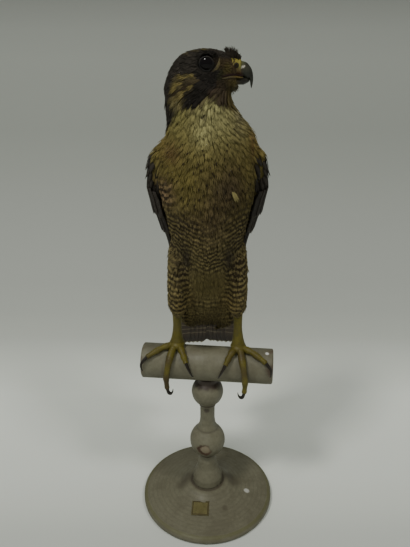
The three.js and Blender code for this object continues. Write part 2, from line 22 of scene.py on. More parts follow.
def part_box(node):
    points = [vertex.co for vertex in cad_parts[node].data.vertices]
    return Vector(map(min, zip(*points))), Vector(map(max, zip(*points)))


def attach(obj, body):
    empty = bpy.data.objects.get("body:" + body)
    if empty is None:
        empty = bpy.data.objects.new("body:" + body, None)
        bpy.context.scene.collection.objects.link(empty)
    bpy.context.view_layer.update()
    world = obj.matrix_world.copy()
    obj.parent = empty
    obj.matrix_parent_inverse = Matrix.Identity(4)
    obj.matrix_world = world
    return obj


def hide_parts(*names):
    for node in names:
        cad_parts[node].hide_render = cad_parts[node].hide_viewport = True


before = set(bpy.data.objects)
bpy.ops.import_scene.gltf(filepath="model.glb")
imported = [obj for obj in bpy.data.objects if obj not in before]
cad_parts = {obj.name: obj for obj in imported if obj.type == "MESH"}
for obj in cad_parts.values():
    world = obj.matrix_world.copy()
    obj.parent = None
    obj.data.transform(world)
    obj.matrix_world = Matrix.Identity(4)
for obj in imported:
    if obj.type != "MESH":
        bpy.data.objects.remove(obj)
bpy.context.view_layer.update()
MM = 0.001
SIDES = ((1, "left"), (-1, "right"))  # the bird's own left is towards +x
print("nodes in the frame:", len(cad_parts))


def link(thing):
    bpy.context.scene.collection.objects.link(thing)


# %% [markdown]
# ## Camera
#
# The picture was taken from close by, a little above the bird's head and looking down, so the disc
# shows as an open oval. Lens and tilt are worked out from the known sizes of disc and bird. The
# picture's middle lies a few pixels beside the bird, and the lens is shifted by as much.

# %% Place the camera
PICTURE = (410, 547)  # width and height in pixels
FOCAL_PIXELS = 537
CAMERA_AT = Vector((0, -525, 526.9)) * MM
LOOK_DOWN = math.radians(22.96)
OFF_CENTRE_PIXELS = 2.5

camera = bpy.data.objects.new("camera", bpy.data.cameras.new("camera"))
link(camera)
camera.data.lens = camera.data.sensor_width * FOCAL_PIXELS / PICTURE[1]
camera.data.shift_x = -OFF_CENTRE_PIXELS / PICTURE[1]
camera.data.clip_start = 0.02
camera.data.clip_end = 30
camera.location = CAMERA_AT
camera.rotation_euler = (math.radians(90) - LOOK_DOWN, 0, 0)
bpy.context.scene.camera = camera
print("lens", round(camera.data.lens, 2), "mm")

# %% [markdown]
# ## Helpers for meshes
#
# A turned or swept piece starts as one line or ring of vertices, which an operator spins or extrudes.
# `finished` makes an object from a bmesh, and `swept` extrudes a ring along a row of places, so that
# a toe, a claw and a bill are all made the same way.


# %% Turn a bmesh into an object that rides on the frame
def closed_mesh(name, bm):
    bmesh.ops.recalc_face_normals(bm, faces=bm.faces)
    mesh = bpy.data.meshes.new(name)
    bm.to_mesh(mesh)
    bm.free()
    return mesh


def finished(name, bm, material, slot, replaces=()):
    placed(name, closed_mesh(name, bm), material, slot, replaces)


def placed(name, mesh, material, slot, replaces=()):
    piece = bpy.data.objects.new(name, mesh)
    link(piece)
    mesh.materials.append(material)
    mesh.polygons.foreach_set("use_smooth", [True] * len(mesh.polygons))
    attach(piece, "root")
    if replaces:
        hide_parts(*replaces)
    print(f"{name}: {len(mesh.polygons)} faces")


def verts_in(geometry):
    return [part for part in geometry if isinstance(part, bmesh.types.BMVert)]


# %% Sweep a ring through places
def swept(around, sections, place, bm=None):
    """Extrudes a ring through sections: place(t, c, s) is where the unit circle's (c, s) lies at t."""
    if bm is None:
        bm = bmesh.new()
    ring = bmesh.ops.create_circle(bm, segments=around, radius=1)["verts"]
    circle = [vert.co.copy() for vert in ring]
    edges = list({edge for vert in ring for edge in vert.link_edges})
    for vert, spot in zip(ring, circle):
        vert.co = place(0, spot.x, spot.y)
    bmesh.ops.contextual_create(bm, geom=edges)
    for k in range(1, sections + 1):
        made = bmesh.ops.extrude_edge_only(bm, edges=edges)["geom"]
        partner = {}
        for vert in verts_in(made):
            for edge in vert.link_edges:
                other = edge.other_vert(vert)
                if other in ring:
                    partner[other] = vert
        ring = [partner[vert] for vert in ring]
        for vert, spot in zip(ring, circle):
            vert.co = place(k / sections, spot.x, spot.y)
        kept = set(ring)
        edges = [e for e in made if isinstance(e, bmesh.types.BMEdge) and set(e.verts) <= kept]
    bmesh.ops.contextual_create(bm, geom=edges)
    return bm


# %% [markdown]
# ## Helpers for materials
#
# Every finish is a small tree of nodes. `Tree` writes one node per line, so that a material reads
# like a recipe: noise in, a mix, and out to the shader. All patterns read Object coordinates, or a
# map or attribute that the piece itself carries.

# %% A short way to write node trees
class Tree:
    def __init__(self, tree):
        self.tree = tree

    def add(self, kind, inputs=None, **settings):
        node = self.tree.nodes.new(kind)
        for name, value in settings.items():
            setattr(node, name, value)
        for name, value in (inputs or {}).items():
            self.put(node.inputs[name], value)
        return node

    def put(self, socket, value):
        if isinstance(value, bpy.types.NodeSocket):
            self.tree.links.new(value, socket)
        else:
            socket.default_value = value

    def calc(self, operation, *values, clamp=False):
        inputs = dict(enumerate(values))
        return self.add("ShaderNodeMath", inputs, operation=operation, use_clamp=clamp).outputs[0]

    def times(self, *values, clamp=False):
        return self.calc("MULTIPLY", *values, clamp=clamp)

    def plus(self, *values):
        return self.calc("ADD", *values)

    def minus(self, *values):
        return self.calc("SUBTRACT", *values)

    def mix(self, share, first, second, blend="MIX"):
        node = self.add("ShaderNodeMix", data_type="RGBA", blend_type=blend)
        for place, value in ((0, share), (6, first), (7, second)):
            self.put(node.inputs[place], value)
        return node.outputs[2]

    def step(self, value, low, high, out_low=0.0, out_high=1.0):
        inputs = {0: value, 1: low, 2: high, 3: out_low, 4: out_high}
        return self.add("ShaderNodeMapRange", inputs, interpolation_type="SMOOTHSTEP").outputs[0]

    def spots(self, where, scale, detail=3.0, rough=0.5, stretch=(1, 1, 1)):
        place = self.add("ShaderNodeMapping", {"Vector": where, "Scale": stretch}).outputs[0]
        inputs = {"Vector": place, "Scale": scale, "Detail": detail, "Roughness": rough}
        return self.add("ShaderNodeTexNoise", inputs).outputs["Fac"]

    def ramp(self, value, stops):
        """A grey that follows stops, each a place and a brightness."""
        node = self.add("ShaderNodeValToRGB", {0: value})
        colours = node.color_ramp.elements
        while len(colours) < len(stops):
            colours.new(1.0)
        for element, (place, bright) in zip(colours, stops):
            element.position = place
            element.color = colour(bright, bright, bright)
        return node.outputs[0]

    def here(self):
        return self.add("ShaderNodeTexCoord").outputs["Object"]

    def attribute(self, name):
        return self.add("ShaderNodeAttribute", attribute_name=name)

    def bump(self, height, distance, strength=1.0):
        inputs = {"Height": height, "Distance": distance, "Strength": strength}
        return self.add("ShaderNodeBump", inputs).outputs[0]


def colour(red, green, blue):
    return (red, green, blue, 1.0)


def new_material(name, **constants):
    """A material with a Principled shader, whose plain numbers are set on its own sockets."""
    material = bpy.data.materials.new(name)
    material.use_nodes = True
    tree = Tree(material.node_tree)
    shader = material.node_tree.nodes["Principled BSDF"]
    for key, value in constants.items():
        shader.inputs[key.replace("_", " ")].default_value = value
    return material, tree, shader


# %% [markdown]
# ## Old grime as a node group
#
# Paint, label and feet share a century of dust and handling. It is one node group, so that the same
# grime lies over all of them, each with its own amount and scale. It gives out a mask, never a
# shader.

# %% Build the grime group
def make_grime():
    group = bpy.data.node_groups.new("grime", "ShaderNodeTree")
    for name, default in (("Scale", 30.0), ("Amount", 0.5)):
        socket = group.interface.new_socket(name, in_out="INPUT", socket_type="NodeSocketFloat")
        socket.default_value = default
    group.interface.new_socket("Mask", in_out="OUTPUT", socket_type="NodeSocketFloat")
    tree = Tree(group)
    given = tree.add("NodeGroupInput")
    place = tree.here()
    broad = tree.spots(place, given.outputs["Scale"], 4, 0.6)
    fine = tree.spots(place, tree.times(given.outputs["Scale"], 7.0), 3, 0.7)
    both = tree.plus(tree.times(broad, 0.65), tree.times(fine, 0.35))
    mask = tree.times(tree.step(both, 0.42, 0.64), given.outputs["Amount"])
    tree.add("NodeGroupOutput", {"Mask": mask})
    return group


GRIME = make_grime()
print("grime group:", len(GRIME.nodes), "nodes")


def grime(tree, scale, amount):
    return tree.add("ShaderNodeGroup", {"Scale": scale, "Amount": amount}, node_tree=GRIME).outputs[0]


# %% [markdown]
# ## Floor, backdrop and light
#
# A pale sheet that runs over the floor and up the wall in one curve gives the picture's plain
# background, with painted light and shade along it, and broad soft lights its quiet shadows, the main
# one from the upper left.

# %% Roll out the backdrop
FLOOR_HALF = 2.4
WALL_Y = 0.75
SHEET_BEND = 0.35

bm = bmesh.new()
first = bm.verts.new((-FLOOR_HALF, -FLOOR_HALF, 0))
edge_end = bm.verts.new((-FLOOR_HALF, WALL_Y - SHEET_BEND, 0))
bm.edges.new((first, edge_end))
bend = bmesh.ops.spin(
    bm, geom=[edge_end], cent=(0, WALL_Y - SHEET_BEND, SHEET_BEND), axis=(1, 0, 0),
    angle=math.pi / 2, steps=24, use_merge=False, use_duplicate=False,
)["geom_last"]
top = bmesh.ops.extrude_vert_indiv(bm, verts=verts_in(bend))
bmesh.ops.translate(bm, vec=(0, 0, 2.2), verts=top["verts"])
sheet = bmesh.ops.extrude_edge_only(bm, edges=bm.edges[:])["geom"]
bmesh.ops.translate(bm, vec=(2 * FLOOR_HALF, 0, 0), verts=verts_in(sheet))
backdrop_mesh = bpy.data.meshes.new("backdrop")
bm.to_mesh(backdrop_mesh)
bm.free()
backdrop_mesh.polygons.foreach_set("use_smooth", [True] * len(backdrop_mesh.polygons))
backdrop = bpy.data.objects.new("backdrop", backdrop_mesh)
link(backdrop)
# Painted light and shade on the sheet: its brightness by the distance along it, brightest on the floor
# behind the stand, darker towards the front and up the wall
SHEET_PAINTED_LIGHT = [
    (-0.1, 0.57), (-0.064, 0.605), (-0.023, 0.70), (0.024, 0.775), (0.078, 0.82), (0.14, 0.875),
    (0.21, 0.91), (0.295, 0.77), (0.395, 0.60), (0.5, 0.50), (0.61, 0.45), (0.82, 0.405), (1.0, 0.37),
    (1.25, 0.35), (1.31, 0.32), (1.4, 0.22),
]
SHEET_SPAN = (-0.2, 1.5)

material, tree, shader = new_material("pale_sheet", Roughness=0.9, Specular_IOR_Level=0.2)
_, sheet_y, sheet_z = tree.add("ShaderNodeSeparateXYZ", {0: tree.here()}).outputs
along = tree.plus(sheet_y, sheet_z)
share = tree.add("ShaderNodeMapRange", {0: along, 1: SHEET_SPAN[0], 2: SHEET_SPAN[1]}).outputs[0]
span = SHEET_SPAN[1] - SHEET_SPAN[0]
# The ramp paints the light's falloff over the sheet: painted shade towards the front and up the wall
tones = tree.ramp(share, [((place - SHEET_SPAN[0]) / span, bright) for place, bright in SHEET_PAINTED_LIGHT])
tree.put(shader.inputs["Base Color"], tree.mix(1.0, tones, colour(0.91, 0.95, 0.865), "MULTIPLY"))
backdrop_mesh.materials.append(material)
print("backdrop faces:", len(backdrop_mesh.polygons))


# %% Hang the lights
def soft_light(name, place, size, watts, tint=(1, 1, 1), mirrored=True):
    lamp = bpy.data.lights.new(name, "AREA")
    lamp.size = size
    lamp.energy = watts
    lamp.color = tint
    hung = bpy.data.objects.new(name, lamp)
    hung.location = place
    aim = Vector((0, 0, 0.3)) - hung.location
    hung.rotation_euler = aim.to_track_quat("-Z", "Y").to_euler()
    hung.visible_glossy = mirrored
    link(hung)


soft_light("left_lamp", (-0.85, -0.87, 2.2), 0.36, 24, (1.0, 0.99, 0.94))
soft_light("right_lamp", (1.0, -0.87, 2.2), 0.4, 15.5, (1.0, 0.99, 0.95), mirrored=False)
soft_light("front_glow", (-0.3, -2.4, 1.3), 2.4, 19, (0.96, 0.98, 1.0), mirrored=False)
world = bpy.data.worlds.new("room")
bpy.context.scene.world = world
world.use_nodes = True
world.node_tree.nodes["Background"].inputs[0].default_value = colour(0.9, 0.93, 0.92)
world.node_tree.nodes["Background"].inputs[1].default_value = 0.26

# %% [markdown]
# ## The stand
#
# Disc, stem and bar were turned on a lathe and painted an off-white that has greyed. Turned work is a
# section spun about its axis. It is fine enough that the old paint's dents and the chip in the lower
# ball can be pressed into the surface afterwards.

# %% Sizes of the stand
BASE_LOW, BASE_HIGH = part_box("stand_base")
STEM_LOW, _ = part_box("stand_stem")
BASE_RADIUS = (BASE_HIGH.x - BASE_LOW.x) / 2
BASE_TOP = BASE_HIGH.z
EDGE_ROUND = 2.2 * MM
BASE_SECTION = [
    (0, 0), (BASE_RADIUS - EDGE_ROUND, 0), (BASE_RADIUS, EDGE_ROUND), (BASE_RADIUS, 6.8 * MM),
    (BASE_RADIUS - EDGE_ROUND, 9 * MM), (62 * MM, 11.3 * MM), (44 * MM, 14.2 * MM),
    (32 * MM, 17.8 * MM), (27.5 * MM, 20.8 * MM), (24 * MM, BASE_TOP), (0, BASE_TOP),
]
LOWER_BALL = (86 * MM, 21.2 * MM)
UPPER_BALL = (156 * MM, 18.4 * MM)


def ball_side(ball, low, high, count=14):
    height, radius = ball
    for k in range(count + 1):
        angle = math.radians(low + (high - low) * k / count)
        yield radius * math.cos(angle), height + radius * math.sin(angle)


STEM_SECTION = [
    (0, STEM_LOW.z), (18 * MM, STEM_LOW.z), (18 * MM, 32 * MM), (16.5 * MM, 36.5 * MM),
    (12.5 * MM, 46 * MM), (11 * MM, 56 * MM), (8.5 * MM, 63 * MM), *ball_side(LOWER_BALL, -58, 52),
    (9.8 * MM, 110 * MM), (8.6 * MM, 118 * MM), (8.6 * MM, 136 * MM), (9.6 * MM, 137 * MM),
    (11.4 * MM, 141.5 * MM), *ball_side(UPPER_BALL, -46, 50), (11.5 * MM, 175.5 * MM), (0, 175.5 * MM),
]


# %% Turn a section on the lathe
def turned(section, step):
    """Spins a section about the z axis, with a vertex at least every step along it."""
    bm = bmesh.new()
    points = []
    for (r0, z0), (r1, z1) in zip(section, section[1:]):
        pieces = max(1, math.ceil(math.hypot(r1 - r0, z1 - z0) / step))
        points += [(r0 + (r1 - r0) * i / pieces, z0 + (z1 - z0) * i / pieces) for i in range(pieces)]
    points.append(section[-1])
    verts = [bm.verts.new((r, 0, z)) for r, z in points]
    edges = [bm.edges.new(pair) for pair in zip(verts, verts[1:])]
    bmesh.ops.spin(bm, geom=verts + edges, axis=(0, 0, 1), angle=2 * math.pi, steps=128, use_merge=True)
    bmesh.ops.remove_doubles(bm, verts=bm.verts, dist=1e-6)
    return bm


# %% [markdown]
# ## Paint
#
# The paint is satin, yellowed and greyed by dust. Its marks are where they are on the real stand: a
# dark band round the top of the upper ball, a dark line where each ball meets the neck, worn and
# stained ends of the bar, rubbed patches beside the stem's foot, rings left by the lathe, and a chip
# in the lower ball with bare brown wood round a paler scar.

# %% Mix the paint
PAINT = colour(0.139, 0.133, 0.087)
PAINT_DULL = colour(0.082, 0.076, 0.045)
PAINT_DARK = colour(0.032, 0.02, 0.014)
BARE_WOOD = colour(0.05, 0.024, 0.012)
CHIP_AT = Vector((-4, -20, 84)) * MM


def paint(name, marks):
    """Old paint; marks(tree, place, axes, ragged) gives stains: mask, strength and colour."""
    material, tree, shader = new_material(name)
    place = tree.here()
    axes = tree.add("ShaderNodeSeparateXYZ", {0: place}).outputs
    ragged = tree.spots(place, 160, 4, 0.6)
    tone = tree.mix(tree.spots(place, 22, 4), PAINT_DULL, PAINT)
    tone = tree.mix(tree.times(tree.spots(place, 300, 3), 0.35), tone, colour(0.24, 0.23, 0.16))
    tone = tree.mix(grime(tree, 45.0, 0.55), tone, PAINT_DULL)
    tone = tree.mix(grime(tree, 12.0, 0.3), tone, colour(0.07, 0.06, 0.036))
    for mask, share, stain in marks(tree, place, axes, ragged):
        tone = tree.mix(tree.times(mask, share), tone, stain)
    tree.put(shader.inputs["Base Color"], tone)
    tree.put(shader.inputs["Roughness"], tree.step(tree.spots(place, 60, 3), 0.3, 0.7, 0.48, 0.7))
    brushed = tree.plus(tree.spots(place, 90, 3), tree.times(tree.spots(place, 500, 2), 0.25))
    tree.put(shader.inputs["Normal"], tree.bump(brushed, 0.0006, 0.6))
    return material


def frayed(tree, off, half, ragged, soft):
    """1 where off is less than half, fading out over a ragged edge."""
    shaken = tree.plus(off, tree.times(tree.minus(ragged, 0.5), half))
    return tree.step(shaken, half * (1 + soft), half * (1 - soft))


def near(tree, value, centre, half, ragged):
    """A band about a value."""
    return frayed(tree, tree.calc("ABSOLUTE", tree.minus(value, centre)), half, ragged, 0.4)


def patch(tree, place, centre, half, ragged, soft=0.4):
    """A blot about a point."""
    off = tree.add("ShaderNodeVectorMath", {0: place, 1: centre}, operation="DISTANCE").outputs["Value"]
    return frayed(tree, off, half, ragged, soft)


def stem_marks(tree, place, axes, ragged):
    height = axes[2]
    yield tree.step(tree.plus(height, tree.times(ragged, 0.008)), 0.1675, 0.1725), 0.92, PAINT_DARK
    for level, half, share in ((0.1405, 0.0012, 0.85), (0.0655, 0.002, 0.8), (0.1045, 0.001, 0.3)):
        yield near(tree, height, level, half, ragged), share, PAINT_DARK
    yield patch(tree, place, (-0.001, -0.009, 0.134), 0.0032, ragged), 0.7, PAINT_DARK
    yield patch(tree, place, CHIP_AT, 0.0085, ragged, 0.2), 1.0, BARE_WOOD
    scar_at = CHIP_AT + Vector((1.6, 0, 1.2)) * MM
    yield patch(tree, place, scar_at, 0.0058, ragged, 0.25), 0.85, colour(0.2, 0.17, 0.11)


def disc_marks(tree, place, axes, ragged):
    x, y, _ = axes
    radius = tree.calc("SQRT", tree.plus(tree.times(x, x), tree.times(y, y)))
    ring = tree.calc("SINE", tree.times(radius, 2 * math.pi / 0.0052))
    yield tree.step(ring, 0.1, 1.0), 0.22, colour(0.07, 0.064, 0.042)
    yield near(tree, radius, 0.0775, 0.0018, ragged), 0.5, colour(0.075, 0.075, 0.02)
    for x, y, z in ((-25, 4, 20), (-31, -4, 18), (26, 6, 20), (33, 0, 18)):
        centre = (x * MM, y * MM, z * MM)
        yield patch(tree, place, centre, 0.0075, ragged, 0.8), 0.7, colour(0.05, 0.042, 0.025)
    yield patch(tree, place, (0.049, -0.011, 0.0135), 0.0032, ragged), 0.8, colour(0.45, 0.45, 0.4)
    yield patch(tree, place, (0.021, -0.039, 0.0145), 0.0035, ragged), 0.65, colour(0.06, 0.05, 0.03)
    yield near(tree, radius, 0.0195, 0.0016, ragged), 0.6, PAINT_DARK


def bar_marks(tree, place, axes, ragged):
    ends = tree.step(tree.calc("ABSOLUTE", tree.minus(axes[0], -0.002)), 0.066, 0.0755)
    yield tree.times(ends, tree.step(ragged, 0.42, 0.6)), 0.75, colour(0.07, 0.042, 0.025)
    yield patch(tree, place, (0.070, -0.026, 0.199), 0.006, ragged, 0.5), 0.8, colour(0.05, 0.03, 0.018)
    yield patch(tree, place, (0.0662, -0.0114, 0.2129), 0.002, ragged), 0.9, colour(0.6, 0.6, 0.56)
    drips = tree.spots(place, 90, 3, 0.5, (1, 1, 0.15))
    yield tree.step(drips, 0.56, 0.72), 0.4, colour(0.1, 0.075, 0.045)


DISC_PAINT = paint("disc_paint", disc_marks)
STEM_PAINT = paint("stem_paint", stem_marks)
BAR_PAINT = paint("bar_paint", bar_marks)


# %% Turn the disc and the stem, and press in dents and the chip
def dented(bm, depth, chip=None):
    """Moves each vertex in a little by soft noise, and by the depth of a chip about a point."""
    bm.normal_update()
    for vert in bm.verts:
        push = depth * noise.fractal(vert.co * 60, 1.0, 2.0, 3)
        if chip is not None:
            reach = (vert.co - chip).length + 0.002 * noise.noise(vert.co * 300)
            push -= 1.1 * MM * (1 - min(1, max(0, (reach - 6.8 * MM) / (1.6 * MM))))
        vert.co += vert.normal * push


disc = turned(BASE_SECTION, 3 * MM)
bmesh.ops.recalc_face_normals(disc, faces=disc.faces)
dented(disc, 0.08 * MM)
for vert in disc.verts:
    vert.co.z = max(0, vert.co.z)
finished("turned_disc", disc, DISC_PAINT, "stand_paint", ["stand_base"])
stem = turned(STEM_SECTION, 1.6 * MM)
bmesh.ops.recalc_face_normals(stem, faces=stem.faces)
dented(stem, 0.2 * MM, CHIP_AT)
finished("turned_stem", stem, STEM_PAINT, "stand_paint", ["stand_stem"])

# %% [markdown]
# The bar is a plain round rod that lies across the stem, a few degrees out of square. It is a ring swept
# along its own axis; its right-hand end is worn, with bites out of the edge.

# %% Lay the bar
BAR_RADIUS = 20 * MM
BAR_HALF = 74 * MM
BAR_MIDDLE = Vector((0, 0, 193.5 * MM))
BAR_YAW = math.radians(5.65)
ALONG = Vector((math.cos(BAR_YAW), -math.sin(BAR_YAW), 0))
FRONT = Vector((-math.sin(BAR_YAW), -math.cos(BAR_YAW), 0))
END_ROUND = 1.4 * MM


def on_bar(s, degrees, lift):
    """A point s along the bar, turned from its top towards its front, and lift above its surface."""
    angle = math.radians(degrees)
    reach = BAR_RADIUS + lift
    up = Vector((0, 0, reach * math.cos(angle)))
    return BAR_MIDDLE + ALONG * s + FRONT * (reach * math.sin(angle)) + up


def bar_place(t, c, s):
    distance = BAR_HALF * (2 * t - 1)
    inset = max(0, abs(distance) - (BAR_HALF - END_ROUND)) / END_ROUND
    radius = BAR_RADIUS - END_ROUND * (1 - math.sqrt(max(0, 1 - inset**2)))
    bite = max(0, distance - 66 * MM) / (8 * MM)
    worn = 0.9 * MM * bite * max(0, noise.noise(Vector((c * 3, s * 3, 4))) + 0.1)
    reach = radius - worn
    return BAR_MIDDLE + ALONG * distance + FRONT * (reach * s) + Vector((0, 0, reach * c))


bar = swept(96, 160, bar_place)
bmesh.ops.recalc_face_normals(bar, faces=bar.faces)
dented(bar, 0.1 * MM)
finished("round_bar", bar, BAR_PAINT, "stand_paint", ["stand_bar"])

# %% [markdown]
# The label is a small slip of yellowed paper on the disc. Its writing is left off. A thin dark line runs
# inside its edge, and one corner has lifted a little.

# %% Paste down the label
LABEL_LOW, LABEL_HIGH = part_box("stand_label")
LABEL_SIZE = Vector((20.5, 18.5, 0.35)) * MM
LABEL_TURN = -0.06
LABEL_SLOPE = math.atan2(2.9, 18)


def make_label_paper():
    material, tree, shader = new_material("label_paper", Roughness=0.85)
    sheet = tree.attribute("sheet").outputs["Vector"]
    width, depth, _ = tree.add("ShaderNodeSeparateXYZ", {0: sheet}).outputs
    edge = tree.calc("MAXIMUM", tree.calc("ABSOLUTE", width), tree.calc("ABSOLUTE", depth))
    place = tree.here()
    tone = tree.mix(tree.spots(place, 140, 4), colour(0.085, 0.073, 0.023), colour(0.135, 0.12, 0.045))
    tone = tree.mix(grime(tree, 90.0, 0.6), tone, colour(0.06, 0.047, 0.017))
    line = tree.times(tree.step(edge, 0.8, 0.86), tree.step(edge, 0.97, 0.9))
    tone = tree.mix(tree.times(line, 0.85), tone, colour(0.03, 0.02, 0.008))
    tree.put(shader.inputs["Base Color"], tone)
    tree.put(shader.inputs["Normal"], tree.bump(tree.spots(place, 700, 3), 0.0002, 0.6))
    return material


slip = bmesh.new()
bmesh.ops.create_grid(slip, x_segments=16, y_segments=16, size=1)
sheet_layer = slip.verts.layers.float_vector.new("sheet")
for vert in slip.verts:
    vert[sheet_layer] = vert.co
    corner = max(0, vert.co.x + vert.co.y - 1.4) * 1.2 * MM
    vert.co = Vector((vert.co.x * LABEL_SIZE.x / 2, vert.co.y * LABEL_SIZE.y / 2, corner))
bmesh.ops.solidify(slip, geom=slip.faces[:], thickness=-LABEL_SIZE.z)
turn = Matrix.Rotation(LABEL_TURN, 4, "Z") @ Matrix.Rotation(LABEL_SLOPE, 4, "X")
middle = (LABEL_LOW + LABEL_HIGH) / 2 - Vector((0, 0, 0.1 * MM))
bmesh.ops.transform(slip, matrix=Matrix.Translation(middle) @ turn, verts=slip.verts)
finished("paper_label", slip, make_label_paper(), "label_paper", ["stand_label"])

# %% [markdown]
# ## The wing's lie
#
# A folded wing is a long leaf that wraps the body's side: broad at the shoulder, narrow where the
# flight feathers pass behind the thigh. Everything on it is placed by three numbers: the height, v
# from its front edge (0) to its back edge (1), and how far it stands off. The same table shapes the
# core under the feathers.

# %% Level sections of the folded wing
# Height, then x and y of its front edge, outermost line and back edge, in millimetres
WING = np.array([
    (441, 34, -14, 45, 4, 30, 28), (430, 44, -19, 56.2, 4, 32, 38), (415, 49.3, -19, 59.8, 5, 30, 46),
    (400, 50, -15, 60.5, 8, 27, 52), (385, 48, -9, 56.8, 12.5, 23, 57.5),
    (370, 45, -2, 52.5, 18, 19, 62.5), (355, 41.5, 6, 47.5, 24, 15, 67.5),
    (338, 37.5, 14, 41.5, 31, 11, 72.5), (310, 33, 27, 35.5, 43, 7, 78.5),
    (280, 28.5, 41, 30, 56, 4.5, 85), (250, 24.5, 56, 25.5, 67.5, 3.5, 91),
    (232, 23, 70, 23, 79, 3, 95.5), (218, 21.5, 80.5, 20, 87.5, 3, 98.5),
    (195, 17.5, 92, 14.5, 97.5, 2.5, 104), (170, 10.5, 103.5, 7.5, 106.8, 2, 110),
], dtype=float)[::-1]


def smooth_column(rows, column, x):
    """The value at x of one column, on a smooth curve through rows that rise in their first column."""
    keys, values = rows[:, 0], rows[:, column]
    slopes = np.gradient(values, keys)
    x = np.clip(x, keys[0], keys[-1])
    i = np.clip(np.searchsorted(keys, x, side="right") - 1, 0, len(keys) - 2)
    step = keys[i + 1] - keys[i]
    t = (x - keys[i]) / step
    return (
        (2 * t**3 - 3 * t**2 + 1) * values[i] + (t**3 - 2 * t**2 + t) * slopes[i] * step
        + (3 * t**2 - 2 * t**3) * values[i + 1] + (t**3 - t**2) * slopes[i + 1] * step
    )


def on_wing(side, z, v, lift):
    """Points on the folded wing, for arrays of height, v and lift in millimetres, in metres."""
    z, v, lift = np.broadcast_arrays(np.asarray(z, float), v, lift)
    front, outer, back = (
        np.stack([smooth_column(WING, k, z), smooth_column(WING, k + 1, z)], -1) for k in (1, 3, 5)
    )
    control = 2 * outer - 0.5 * front - 0.5 * back
    share = v[..., None]
    at = (1 - share) ** 2 * front + 2 * share * (1 - share) * control + share**2 * back
    along = 2 * (1 - share) * (control - front) + 2 * share * (back - control)
    along /= np.linalg.norm(along, axis=-1, keepdims=True)
    x = side * (at[..., 0] + along[..., 1] * lift)
    return np.stack([x, at[..., 1] - along[..., 0] * lift, z], -1) * MM


def chord(z):
    """The wing's width at a height, front edge to back edge, in millimetres."""
    across = on_wing(1, z, 0, 0) - on_wing(1, z, 1, 0)
    return np.maximum(np.linalg.norm(across, axis=-1) / MM, 14)


print("wing chord at the shoulder:", float(chord(415)), "mm")

# %% [markdown]
# ## Skin
#
# Under its coat a mount has one tanned skin, with no seams between head, neck and body. The flesh
# solids of the frame are copied, swelled by a hair so that they run into one another, and remeshed
# into a single surface, which is smoothed and drawn in by the depth of the coat.

# %% Places in the head's own frame
HEAD_CENTRE = np.array((0.3, 4.5, 512.8)) * MM
HEAD_TURN = math.radians(-4)
EYE_SIDE = 15.2  # millimetres from the head's middle
EYE_RADIUS = 7.4 * MM


def in_head(points):
    """Points in the head's own frame, in millimetres: ahead of the eyes, to the left, above the eyes."""
    off = (np.asarray(points) - HEAD_CENTRE) / MM
    cosine, sine = math.cos(HEAD_TURN), math.sin(HEAD_TURN)
    ahead = off[..., 0] * cosine + off[..., 1] * sine
    side = off[..., 1] * cosine - off[..., 0] * sine
    return np.stack([ahead, side, off[..., 2]], -1)


# %% Gather the flesh
FLESH = ["head", "neck", "torso", "thigh_left", "thigh_right"]
SWELL = 0.45 * MM
SKIN_VOXEL = 1.7 * MM
CROWN_RAISE = 1.7 * MM
THIGH_END = 267 * MM


# The top of the skull without its tuft: distance ahead of the eyes, height above them
SKULL_TOP = np.array([(3, 10.7), (11, 10.2), (18, 8.6), (24, 5.8), (28, 3.2)])


def flesh_copy(names):
    """The flesh as one bmesh, swelled, with the forehead's tuft pressed flat."""
    bm = bmesh.new()
    for name in names:
        bm.from_mesh(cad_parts[name].data)
    bmesh.ops.remove_doubles(bm, verts=bm.verts, dist=1e-6)
    bm.normal_update()
    for vert in bm.verts:
        ahead, _, up = in_head(np.array(vert.co))
        excess = up - np.interp(ahead, SKULL_TOP[:, 0], SKULL_TOP[:, 1])
        if ahead > 8 and excess > 0.1:
            vert.co.z -= (excess + 1) * MM
        crown = min(1, max(0, (up - 1) / 7)) * min(1, max(0, (22 - ahead) / 12))
        vert.co += vert.normal * SWELL + Vector((0, 0, CROWN_RAISE * crown))
        if vert.co.z < THIGH_END and abs(vert.co.x) > 14 * MM:
            low = min(1, (THIGH_END - vert.co.z) / (15 * MM))
            vert.co.x += (math.copysign(33.4 * MM, vert.co.x) - vert.co.x) * 0.5 * low
            vert.co.y += (-1 * MM - vert.co.y) * 0.5 * low
            vert.co.z += (THIGH_END - vert.co.z) * 0.15
    return bm


def wing_core(bm, side):
    """The firm part of the wing under its coverts."""

    def place(t, c, s):
        z = 446 - 144 * t
        thick = 12 - 3 * t
        end = math.sqrt(max(0.05, 1 - (2 * t - 1) ** 8))
        shoulder = 4.5 * math.exp(-(((z - 440) / 13) ** 2))
        lift = shoulder * end + thick * 0.5 * (s * end - 1)
        return Vector(on_wing(side, z, 0.5 + 0.49 * c * end, lift))

    swept(28, 40, place, bm)


flesh = flesh_copy(FLESH)
for side in (1, -1):
    wing_core(flesh, side)
bmesh.ops.recalc_face_normals(flesh, faces=flesh.faces)
rough_mesh = bpy.data.meshes.new("rough_skin")
flesh.to_mesh(rough_mesh)
flesh.free()


# %% Remesh it, smooth it and draw it in
def remeshed(mesh, voxel):
    """A closed surface round everything in the mesh."""
    holder = bpy.data.objects.new("holder", mesh)
    link(holder)
    remesh = holder.modifiers.new("remesh", "REMESH")
    remesh.mode = "VOXEL"
    remesh.voxel_size = voxel
    seen = holder.evaluated_get(bpy.context.evaluated_depsgraph_get())
    made = bpy.data.meshes.new_from_object(seen)
    bpy.data.objects.remove(holder)
    return made


def smoothstep(value, low, high):
    """0 below low, 1 above high, and smooth between."""
    t = np.clip((np.asarray(value, float) - low) / (high - low), 0, 1)
    return t * t * (3 - 2 * t)


def fade(value, low, high):
    return 1 - smoothstep(value, low, high)


def blot(points, centre, radii):
    """A soft round patch about a centre, in millimetres."""
    off = (points / MM - np.array(centre)) / np.array(radii)
    return np.exp(-np.sum(off**2, axis=1))


